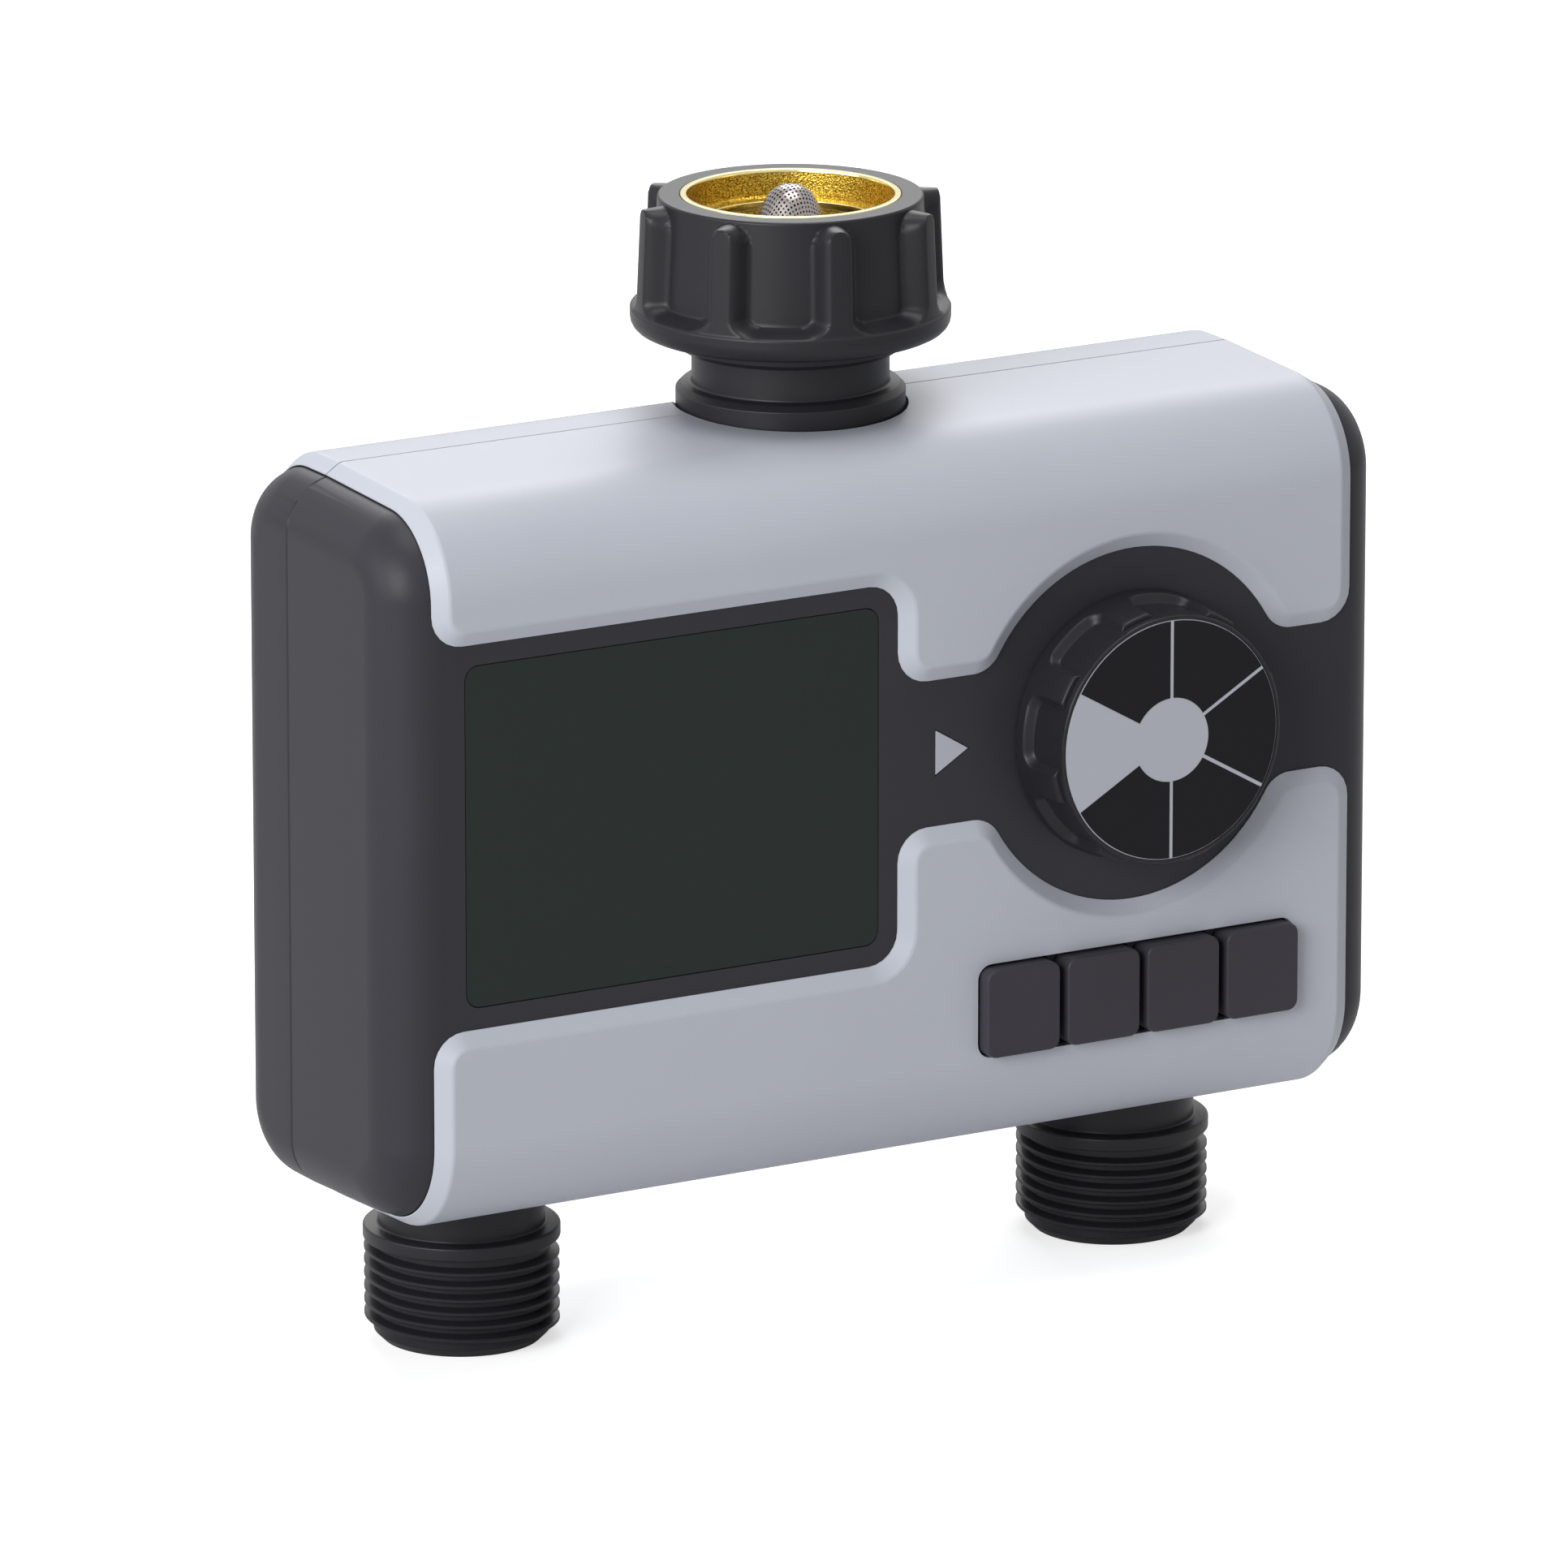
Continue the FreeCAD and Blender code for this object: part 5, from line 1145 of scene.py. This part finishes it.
@dataclass
class Buttons:
    """Four push buttons under the dial.

    Attributes:
        corner: Radius of a cap's corners.
        edge: Rounding of a cap's front edge.
        flange: Place of the flange's front, from the pipes' plane.
        thick: Thickness of the flange.
        stem: Radius of the stem that presses the switch.
        count: Number of buttons.
    """

    corner: float = 1.5
    edge: float = 0.32
    flange: float = -26.0
    thick: float = 1.2
    stem: float = 1.6
    count: int = 4

    def build(self) -> None:
        """Build the buttons."""
        for number in range(1, self.count + 1):
            self._button(number)

    def _button(self, number: int) -> None:
        """Extrude one cap and give it its flange and stem.

        Args:
            number: The button's number, from the left.
        """
        node = f"button_{number}"
        low, high = corners(node)
        spot = (low + high) / 2
        wide, tall = KEY_CAP[0] / 2, KEY_CAP[1] / 2
        outline = round_rectangle((spot.x - wide, spot.z - tall), (spot.x + wide, spot.z + tall),
                                  self.corner, 5)
        piece = Workpiece.loop(f"{node}_cap", [(u, low.y, v) for u, v in outline])
        piece.thicken((0, self.flange - low.y, 0)).merge()
        piece.select_edges(lambda a, b: max(a.y, b.y) < low.y + NEAR)
        piece.bevel(self.edge, segments=4)
        back = self.flange + self.thick
        plate = Workpiece.cube("flange", (low.x, self.flange, low.z), (high.x, back, high.z))
        profile = [(0, -high.y), (self.stem, -high.y), (self.stem, -back), (0, -back)]
        stem = Workpiece.turned("stem", profile, 32)
        piece.join(plate.soften(0.15, segments=2)).join(stem.lay_forward(spot))
        piece.done(f"{node}_key", "key", KEY, node)


# ---------------------------------------------------------------------------------------- inlet and outlets

@dataclass(frozen=True)
class Thread:
    """A pipe thread G 3/4 as a ridge wound round a wall.

    Attributes:
        crest: Radius of the ridge's crest.
        root: Radius of the wall that it stands on.
        low: Height of its lower end.
        high: Height of its upper end.
        start: Angle at which it starts, in degrees.
        top: Half the thickness of its crest.
        flank: Angle of its flanks in degrees.
        pitch: Rise of a turn.
        runout: Length over which it fades at both ends.
        sunk: How far its foot is sunk into the wall.
        edge: Depth and half the width of its crest's bevels.
    """

    crest: float
    root: float
    low: float
    high: float
    start: float = 0.0
    top: float = 0.16
    flank: float = 27.5
    pitch: float = 1.814
    runout: float = 0.7
    sunk: float = 0.12
    edge: Point = (0.12, 0.06)

    def _section(self) -> list[Point]:
        """Draw the ridge's section.

        Returns:
            Its radii and heights, from the lower foot over the crest to the upper foot.
        """
        way = 1 if self.crest > self.root else -1
        foot = self.root - way * self.sunk
        spread = self.top + abs(self.crest - self.root) * math.tan(math.radians(self.flank))
        deep, half = self.edge
        shoulder = self.crest - way * deep
        upper = [(self.crest, self.top - half), (shoulder, self.top + half),
                 (self.root, spread), (foot, spread)]
        return [(radius, -height) for radius, height in reversed(upper)] + upper

    def wind(self, name: str, spot: Point = (0.0, 0.0), steps: int = 96) -> Workpiece:
        """Wind the ridge.

        Args:
            name: Name of the new object.
            spot: Where the axis stands in X and Y.
            steps: Stretches in one turn.

        Returns:
            The ridge as a closed piece, its ends faded into the wall.
        """
        section = self._section()
        length = self.high - self.low
        turns = length / self.pitch
        count = round(turns * steps)
        piece = Workpiece.loop(name, [(radius, 0, self.low + height) for radius, height in section])
        with piece.editing():
            bpy.ops.mesh.select_all(action="SELECT")
            bpy.ops.mesh.spin(steps=count, angle=math.tau * turns, center=(0, 0, 0), axis=(0, 0, 1))
        places = piece.places()
        ring = np.arange(len(places)) // len(section)
        rise = np.minimum(ring, count) * length / count
        radius = np.hypot(places[:, 0], places[:, 1])
        fade = ease(np.minimum(rise, length - rise) / self.runout)
        below = math.copysign(0.02, self.crest - self.root)
        faded = section[0][0] - below
        places[:, :2] *= ((faded + (radius - faded) * fade) / radius)[:, None]
        places[:, 2] += rise
        cos, sin = math.cos(math.radians(self.start)), math.sin(math.radians(self.start))
        places[:, :2] = places[:, :2] @ np.array([[cos, sin], [-sin, cos]])
        piece.move_to(places)
        piece.merge(inside=self.crest < self.root)
        piece.shift((*spot, 0))
        return piece


@dataclass
class Inlet:
    """Swivel nut with its brass insert, filter screen and the pipe that it turns on.

    Attributes:
        lip: Radius of the hole in the nut's floor.
        hub: Radius of the nut's hub.
        skirt: Radius of its round skirt.
        grip: Radius over its ribs at the rim.
        core: Radius between its ribs at their foot.
        face: Radius of its face.
        mouth: Radius of its bore, which holds the insert.
        belly: Height of its skirt over the base.
        insert: Radius of the insert.
        throat: Radius of the insert's plain mouth.
        root: Radius of its thread's root.
        crest: Radius of its thread's crest.
        polish: Height of its polished rim.
        entry: Depth of its first crest under the rim.
        bore: Radius of the pipe's bore.
        neck: Radius of the neck that the nut turns on.
        flange: Radius of the flange that holds the nut.
        ball: Radius of the screen's round top.
        slope: Angle of its side from upright, in degrees.
        weave: Distance from hole to hole in the screen.
        wire: Half the width of the steel between two holes.
        sheet: Thickness of the screen.
        steps: Stretches round the nut.
        fine_steps: Stretches round the other turned pieces.
    """

    lip: float = 13.43
    hub: float = 15.4
    skirt: float = 21.6
    grip: float = 20.8
    core: float = 18.6
    face: float = 17.9
    mouth: float = 14.9
    belly: float = 5.5
    insert: float = 14.85
    throat: float = 14.0
    root: float = 13.15
    crest: float = 12.08
    polish: float = 0.5
    entry: float = 3.8
    bore: float = 7.0
    neck: float = 13.35
    flange: float = 14.4
    ball: float = 3.8
    slope: float = 28.0
    weave: float = 0.62
    wire: float = 0.1
    sheet: float = 0.15
    steps: int = 400
    fine_steps: int = 160

    def build(self) -> None:
        """Build the inlet's pieces."""
        self._nut()
        self._insert()
        self._spigot()
        self._screen()

    def _nut(self) -> None:
        """Turn the nut and press the pockets between its ribs."""
        low, high = corners("inlet_nut")
        base, rim = low.z, high.z
        belly = base + self.belly
        floor, shoulder = base + 1.9, base + 2.3
        crest = (self.grip, rim - 1.2)
        edge = 0.4
        profile = rounded([(self.lip, base, 0.15), (self.hub - 0.6, base, 0.1), (self.hub, base + 0.6, 0.1),
                           (self.hub, shoulder, 0.25), (self.skirt, shoulder, 2.0),
                           (self.skirt, belly, 0)], 5)[:-1]
        profile += rows((self.skirt, belly - 1.0), (self.skirt, belly), 0.2)
        profile += [(self.skirt, belly), (self.skirt - 0.1, belly + 0.15)]
        profile += rows((self.skirt - 0.2, belly + 0.3), crest, 0.25)
        profile += rows(crest, (self.grip, rim - edge), 0.06)
        profile += arc((self.face - edge, rim - edge), edge, 0, 90, 5)
        profile += [(self.mouth + 0.1, rim), (self.mouth, rim - 0.1), (self.mouth, floor), (self.lip, floor)]
        piece = Workpiece.turned("inlet_nut_grip", profile, self.steps)
        ribs = Ribs(count=8, turn=-11.7, wide=4.7, foot=belly + 0.75, top=rim - 0.65, corner=2.6, blend=1.9,
                    step=1.2, core=self.core, pitch_radius=20.0, lift=0.3, taper=0.05)
        piece.move_to(ribs.press(piece.places(), belly - 0.2))
        piece.done("nut", "pipe", PIPE, "inlet_nut")

    def _insert(self) -> None:
        """Turn the brass insert, polish its rim and first crest and wind its thread."""
        low, high = corners("nut_insert")
        foot, rim = low.z, high.z
        first, under = rim - self.entry, rim - 0.3
        wall = [(self.root, foot), (self.insert, foot), (self.insert, under), (self.throat, under),
                (self.throat - 0.05, first + 0.2), (self.root, first - 0.3)]
        bead = rounded([(self.throat - 0.1, rim - self.polish, 0.05), (self.insert, rim - self.polish, 0.05),
                        (self.insert, rim, 0.2), (self.throat, rim, 0.2)], 4)
        crest = rounded([(13.3, first - 1.5, 0), (13.3, first, 0), (self.crest, first - 0.15, 0.15),
                         (self.crest, first - 1.2, 0.15)], 4)
        Workpiece.turned("insert_wall", wall, self.fine_steps).done("nut", "brass", CAST_BRASS, "nut_insert")
        Workpiece.turned("insert_rim", bead, self.fine_steps).done("nut", "brass", BRASS)
        Workpiece.turned("insert_crest", crest, self.fine_steps).done("nut", "brass", BRASS)
        thread = Thread(self.crest, self.root + 0.02, foot + 0.8, first - 2.2)
        thread.wind("insert_thread").done("nut", "brass", BRASS)

    def _spigot(self) -> None:
        """Turn the pipe: tail, shank, collar, neck and swivel flange."""
        low, high = corners("inlet_spigot")
        foot, top = low.z, high.z
        seat = corners("front_housing")[1].z + 0.05
        step = seat + 4.25
        hold = corners("inlet_nut")[0].z + 1.98
        tail, shank = 8.0, 11.0
        profile = [(self.bore, foot, 0), (tail, foot, 0.3), (tail, foot + 6.0, 0), (shank, foot + 6.0, 0.2),
                   (shank, seat, 0), (COLLAR, seat, 0.15), (COLLAR, step - 0.8, 0.25),
                   (COLLAR - 0.8, step, 0.25), (self.neck, step, 0.4), (self.neck, hold, 0),
                   (self.flange, hold, 0.15), (self.flange, top, 0.2), (self.bore, top, 0.2)]
        piece = Workpiece.turned("inlet_spigot_pipe", rounded(profile, 3), self.fine_steps)
        piece.done("housing", "pipe", PIPE, "inlet_spigot")

    def _screen(self) -> None:
        """Punch a flat sheet, draw it into a dome and set it on its rim."""
        low, high = corners("filter_screen")
        foot, apex = low.z, high.z
        slope = math.radians(self.slope)
        turn = math.pi / 2 - slope
        skirt = 3.2
        reach = self.ball * turn + (apex - self.ball * (1 - math.cos(turn)) - foot - skirt) / math.cos(slope)
        piece = self._punched(reach)
        places = piece.places()
        length = np.hypot(places[:, 0], places[:, 1])
        run = np.minimum(length, reach)
        over = np.maximum(run - self.ball * turn, 0)
        bent = np.minimum(run / self.ball, turn)
        radius = self.ball * np.sin(bent) + over * math.sin(slope)
        height = apex - self.ball * (1 - np.cos(bent)) - over * math.cos(slope)
        share = radius / np.maximum(length, MERGE)
        piece.move_to(np.stack([places[:, 0] * share, places[:, 1] * share, height], axis=1))
        piece.merge()
        piece.modify("SOLIDIFY", thickness=self.sheet * MM, offset=1.0)
        edge = self.ball * math.sin(turn) + (reach - self.ball * turn) * math.sin(slope)
        piece.join(self._band(edge, height.min(), foot))
        piece.done("filter", "screen", SCREEN, "filter_screen")

    def _punched(self, reach: float) -> Workpiece:
        """Punch round-cornered holes into a flat round sheet.

        Args:
            reach: Radius of the sheet.

        Returns:
            The sheet, without thickness, with a plain edge.
        """
        hem = 0.8
        cells = 2 * math.ceil(reach / self.weave)
        side = cells * self.weave * MM
        set_down()
        bpy.ops.mesh.primitive_grid_add(x_subdivisions=cells, y_subdivisions=cells, size=side)
        piece = Workpiece(bpy.context.active_object)
        piece.obj.name = piece.obj.data.name = "filter_screen_dome"
        piece.select_faces(lambda spot: spot.xy.length > reach)
        with piece.editing():
            bpy.ops.mesh.delete(type="FACE")
        piece.select_faces(lambda spot: spot.xy.length < reach - hem)
        with piece.editing():
            bpy.ops.mesh.inset(thickness=self.wire * MM, use_individual=True)
            bpy.ops.mesh.delete(type="ONLY_FACE")
        return piece.modify("SUBSURF", levels=1, render_levels=1)

    @staticmethod
    def _band(edge: float, hem: float, foot: float) -> Workpiece:
        """Turn the screen's solid rim: a cone that grips the dome's edge, and a flat ring.

        Args:
            edge: Radius of the dome at its edge.
            hem: Height of the dome's edge.
            foot: Height of the ring's underside.

        Returns:
            The rim.
        """
        ring, hole, top = 10.8, 8.1, foot + 0.8
        cone = [(edge - 0.35, hem - 0.1), (edge + 0.03, hem + 0.35), (edge + 0.12, hem - 0.05),
                (hole + 0.5, top)]
        flat = [(ring - 0.1, top), (ring, top - 0.1), (ring, foot + 0.1), (ring - 0.1, foot),
                (hole, foot), (hole, top)]
        return Workpiece.turned("filter_screen_rim", cone + flat)


@dataclass
class Outlets:
    """Two threaded outlets under the casing.

    Attributes:
        bore: Radius of the bore.
        mouth: Radius of the mouth's outside, before the thread.
        root: Radius of the thread's root.
        crest: Radius of its crest.
        flange: Radius of the flange over the thread.
        shoulder: Height of the flange's underside over the mouth.
        thick: Thickness of the flange.
        ring: Radius of the ring that holds the outlet in the casing.
        steps: Stretches round the pipe.
    """

    bore: float = 8.5
    mouth: float = 10.75
    root: float = 11.95
    crest: float = 13.2
    flange: float = 13.35
    shoulder: float = 14.05
    thick: float = 1.9
    ring: float = 12.7
    steps: int = 160

    def build(self) -> None:
        """Build both outlets and their threads."""
        for node in ("outlet_left", "outlet_right"):
            self._pipe(node)

    def _pipe(self, node: str) -> None:
        """Turn one outlet and wind its thread.

        Args:
            node: The CAD node that it stands for.
        """
        low, high = corners(node)
        axis = ((low.x + high.x) / 2, (low.y + high.y) / 2)
        foot, top = low.z, high.z
        under, over = foot + self.shoulder, foot + self.shoulder + self.thick
        seat = top - 5.95
        hold = seat + 1.6
        profile = [(self.bore, foot, 0.3), (self.mouth, foot, 0.15), (self.root, foot + 1.2, 0.25),
                   (self.root, under, 0.3), (self.flange, under, 0.25), (self.flange, over, 0.35),
                   (SHANK, over, 0.3), (SHANK, seat, 0), (self.ring, seat, 0), (self.ring, hold, 0.2),
                   (SHANK, hold, 0), (SHANK, top, 0.2), (self.bore, top, 0.2)]
        pipe = Workpiece.turned(f"{node}_pipe", rounded(profile, 3), self.steps, axis)
        pipe.done("housing", "pipe", PIPE, node)
        ridge = Thread(self.crest, self.root, foot + 1.9, under - 0.3, start=84.0, top=0.24, flank=19.0,
                       pitch=1.85, runout=0.5)
        ridge.wind(f"{node}_thread", axis).done("housing", "pipe", PIPE)


# ---------------------------------------------------------------------------------------- back and inside

@dataclass
class Batteries:
    """Battery door at the back and the two cells behind it.

    Attributes:
        plate: Thickness of the door's plate.
        corner: Radius of the door's corners.
        grip: Width and height of the finger recess.
        grip_corner: Radius of the recess's corners.
        grip_deep: Depth of the recess.
        grip_top: Distance of its middle from the door's top.
        rim: Half the width and half the height of the rim inside the door.
        wall: Thickness of that rim.
        steps: Stretches round a cell.
    """

    plate: float = 1.9
    corner: float = 3.0
    grip: Point = (18.0, 5.0)
    grip_corner: float = 2.4
    grip_deep: float = 0.95
    grip_top: float = 5.0
    rim: Point = (27.6, 14.8)
    wall: float = 1.2
    steps: int = 64

    def build(self) -> None:
        """Build the door and the cells."""
        self._door()
        for number, way in ((1, 1), (2, -1)):
            self._cell(number, way)

    def _door(self) -> None:
        """Extrude the door, cut its finger recess and add its inner rim."""
        low, high = corners("battery_door")
        plate = high.y - self.plate
        outline = round_rectangle((low.x, low.z), (high.x, high.z), self.corner)
        piece = Workpiece.loop("battery_door_plate", [(u, plate, v) for u, v in outline])
        piece.thicken((0, self.plate, 0)).merge()
        middle = (low + high) / 2
        half, rise, top = self.grip[0] / 2, self.grip[1] / 2, high.z - self.grip_top
        grip = round_rectangle((middle.x - half, top - rise), (middle.x + half, top + rise), self.grip_corner)
        tool = Workpiece.loop("grip", [(u, high.y - self.grip_deep, v) for u, v in grip])
        piece.cut(tool.thicken((0, 3.0, 0)).merge()).soften(0.3, angle=50)
        piece.join(self._rim(middle, low.y, plate))
        piece.done("door", "casing", CASING, "battery_door")

    def _rim(self, middle: Vector, back: float, plate: float) -> Workpiece:
        """Hollow out a block to make the rim inside the door.

        Args:
            middle: Middle of the door.
            back: Where the rim ends, inside the casing.
            plate: Where it meets the door's plate.

        Returns:
            The rim.
        """
        wide, tall = self.rim
        inner_wide, inner_tall = wide - self.wall, tall - self.wall
        rim = Workpiece.cube("rim", (middle.x - wide, back, middle.z - tall),
                             (middle.x + wide, plate, middle.z + tall))
        return rim.cut(Workpiece.cube("inside", (middle.x - inner_wide, back - 1, middle.z - inner_tall),
                                      (middle.x + inner_wide, plate - 0.02, middle.z + inner_tall)))

    def _cell(self, number: int, way: int) -> None:
        """Turn one cell: wrapped can and bare ends.

        Args:
            number: The cell's number.
            way: 1 if its plus end points right, -1 if left.
        """
        low, high = corners(f"battery_{number}")
        middle = (low + high) / 2
        radius, half = (high.z - low.z) / 2, (high.x - low.x) / 2
        inner = radius - 1.3
        wrap = rounded([(inner, -half + 0.1, 0), (radius, -half + 0.1, 0.5), (radius, half - 1.1, 0.5),
                        (inner, half - 1.1, 0)], 4)
        can, stud = radius - 1.2, 2.9
        ends = [(0, -half), (can - 0.2, -half), (can, -half + 0.4), (can, half - 1.5), (stud, half - 1.3),
                (stud - 0.15, half - 0.15), (stud - 0.3, half), (0, half)]
        for name, profile, finish, nodes in (("wrap", wrap, CELL, (f"battery_{number}",)),
                                             ("ends", ends, STEEL, ())):
            piece = Workpiece.turned(f"battery_{number}_{name}", profile, self.steps)
            places = piece.places()
            piece.move_to(np.stack([places[:, 2] * way + middle.x, places[:, 0] + middle.y,
                                    places[:, 1] * way + middle.z], axis=1))
            piece.done("housing", "cell", finish, *nodes)


INSIDE: dict[str, Finish] = {
    "housing_screws": STEEL, "housing_seal": RUBBER, "lcd_module": INNER, "circuit_board": BOARD,
    "button_switches": INNER, "dial_encoder": STEEL, "dial_seal": RUBBER, "dial_shaft": STEEL,
    "inlet_washer": RUBBER, "spigot_seal": RUBBER, "outlet_seals": RUBBER, "water_manifold": INNER,
    "battery_contacts": STEEL, "door_seal": RUBBER,
}

VALVE: dict[str, Finish] = {
    "valve_body": INNER, "valve_bonnet": INNER, "diaphragm": RUBBER, "solenoid": STEEL, "plunger": STEEL,
    "plunger_spring": STEEL,
}


def dress_inside() -> None:
    """Give the CAD nodes that stay, most of them inside the casing, their finish."""
    finishes = dict(INSIDE)
    for side in ("left", "right"):
        finishes.update({f"{part}_{side}": finish for part, finish in VALVE.items()})
    for node, finish in finishes.items():
        obj = frame["nodes"][node]
        obj.data.materials.clear()
        obj.data.materials.append(finish.material())
        log.info("%s: CAD node in %s", node, finish.name)


# ---------------------------------------------------------------------------------------- studio

@dataclass(frozen=True)
class Lamp:
    """One soft lamp.

    Attributes:
        name: Its name.
        azimuth: Direction that it stands in, 0 in front and 90 to the right, in degrees.
        elevation: Height of that direction in degrees.
        power: Its power in watts.
        size: Side of its square in metres.
    """

    name: str
    azimuth: float
    elevation: float
    power: float
    size: float


@dataclass
class Studio:
    """White room with soft lamps, a floor that keeps the shadow and the camera.

    Attributes:
        lamps: The lamps.
        distance: How far they stand from the object, in metres.
        ambient: Light of the room itself.
        glow: Light that the floor adds for the eye alone.
        floor: Side of the floor in metres.
        azimuth: Direction of the camera, as a lamp's.
        elevation: Height of that direction in degrees.
        lens: Focal length in millimetres.
        camera_distance: How far the camera stands from its aim, in metres.
        aim: What camera and lamps look at, in metres.
    """

    lamps: tuple[Lamp, ...] = (Lamp("key", -60, 20, 40.0, 1.2), Lamp("side", -95, 15, 13.0, 1.2),
                               Lamp("top", 10, 85, 26.0, 1.4), Lamp("back", 150, 40, 22.0, 1.4))
    distance: float = 2.2
    ambient: float = 0.05
    glow: float = 0.62
    floor: float = 40.0
    azimuth: float = -30.154
    elevation: float = 15.249
    lens: float = 346.2
    camera_distance: float = 2.0
    aim: tuple[float, float, float] = (-0.0210, -0.0344, -0.0711)

    @staticmethod
    def direction(azimuth: float, elevation: float) -> Vector:
        """Unit vector from the object in a direction given in degrees."""
        a, e = math.radians(azimuth), math.radians(elevation)
        return Vector((math.sin(a) * math.cos(e), -math.cos(a) * math.cos(e), math.sin(e)))

    def build(self) -> None:
        """Build the room, light it and set up the camera."""
        self._world()
        self._floor()
        for lamp in self.lamps:
            self._light(lamp)
        self._camera()
        bpy.context.scene.view_settings.view_transform = "Standard"

    @staticmethod
    def _seen(nodes: bpy.types.Nodes, links: bpy.types.NodeLinks) -> bpy.types.NodeSocket:
        """Mark the rays that see the background as white.

        Args:
            nodes: Nodes of the world.
            links: Their links.

        Returns:
            The socket that is 1 for camera, glossy and transmission rays.
        """
        path = nodes.new("ShaderNodeLightPath")
        total = path.outputs["Is Camera Ray"]
        for label in ("Is Glossy Ray", "Is Transmission Ray"):
            both = nodes.new("ShaderNodeMath")
            both.operation = "MAXIMUM"
            links.new(total, both.inputs[0])
            links.new(path.outputs[label], both.inputs[1])
            total = both.outputs[0]
        return total

    def _world(self) -> None:
        """Make the surroundings white to the eye and soft grey as light."""
        world = bpy.data.worlds.new("studio")
        bpy.context.scene.world = world
        world.use_nodes = True
        nodes, links = world.node_tree.nodes, world.node_tree.links
        light = nodes["Background"]
        light.inputs["Color"].default_value = (1, 1, 1, 1)
        light.inputs["Strength"].default_value = self.ambient
        white = nodes.new("ShaderNodeBackground")
        white.inputs["Color"].default_value = (1, 1, 1, 1)
        mix = nodes.new("ShaderNodeMixShader")
        links.new(self._seen(nodes, links), mix.inputs["Fac"])
        links.new(light.outputs[0], mix.inputs[1])
        links.new(white.outputs[0], mix.inputs[2])
        links.new(mix.outputs[0], nodes["World Output"].inputs["Surface"])

    def _floor(self) -> None:
        """Lay a pale floor that reads as white and keeps the object's shadow."""
        set_down()
        foot = min(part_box("outlet_left")[0].z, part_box("outlet_right")[0].z)
        bpy.ops.mesh.primitive_plane_add(size=self.floor, location=(0, 0, foot))
        floor = bpy.context.active_object
        floor.name = floor.data.name = "studio_floor"
        bpy.ops.object.transform_apply(location=True, rotation=True, scale=True)
        floor.data.materials.append(self._floor_paint())

    def _floor_paint(self) -> bpy.types.Material:
        """Mix the floor's matt paint with a glow that only the camera sees.

        Returns:
            The floor's material.
        """
        material = bpy.data.materials.new("studio_white")
        material.use_nodes = True
        nodes, links = material.node_tree.nodes, material.node_tree.links
        shader = nodes["Principled BSDF"]
        shader.inputs["Base Color"].default_value = (0.8, 0.8, 0.8, 1)
        shader.inputs["Roughness"].default_value = 1.0
        shader.inputs["Specular IOR Level"].default_value = 0.0
        glow = nodes.new("ShaderNodeEmission")
        seen = nodes.new("ShaderNodeLightPath")
        share = nodes.new("ShaderNodeMath")
        share.operation = "MULTIPLY"
        share.inputs[1].default_value = self.glow
        both = nodes.new("ShaderNodeAddShader")
        links.new(seen.outputs["Is Camera Ray"], share.inputs[0])
        links.new(share.outputs[0], glow.inputs["Strength"])
        links.new(shader.outputs[0], both.inputs[0])
        links.new(glow.outputs[0], both.inputs[1])
        links.new(both.outputs[0], nodes["Material Output"].inputs["Surface"])
        return material

    def _light(self, lamp: Lamp) -> None:
        """Hang one lamp, turned to the object.

        Args:
            lamp: The lamp.
        """
        data = bpy.data.lights.new(lamp.name, "AREA")
        data.energy = lamp.power
        data.size = lamp.size
        obj = bpy.data.objects.new(lamp.name, data)
        bpy.context.scene.collection.objects.link(obj)
        way = self.direction(lamp.azimuth, lamp.elevation)
        obj.location = Vector(self.aim) + way * self.distance
        obj.rotation_euler = way.to_track_quat("Z", "Y").to_euler()

    def _camera(self) -> None:
        """Set up the camera."""
        data = bpy.data.cameras.new("camera")
        data.lens = self.lens
        data.sensor_width = 36.0
        camera = bpy.data.objects.new("camera", data)
        bpy.context.scene.collection.objects.link(camera)
        back = self.direction(self.azimuth, self.elevation)
        camera.location = Vector(self.aim) + back * self.camera_distance
        camera.rotation_euler = back.to_track_quat("Z", "Y").to_euler()
        bpy.context.scene.camera = camera


# ---------------------------------------------------------------------------------------- the whole


def main() -> None:
    """Build every sub-assembly in order, then the studio."""
    logging.basicConfig(level=logging.INFO, format="%(message)s")
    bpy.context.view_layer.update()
    build_grain()
    build_speckle()
    for assembly in (Casing(), Covers(), Dial(), Buttons(), Inlet(), Outlets(), Batteries()):
        log.info("building %s", type(assembly).__name__)
        assembly.build()
    dress_inside()
    Studio().build()
    set_down()


if __name__ == "__main__":
    main()
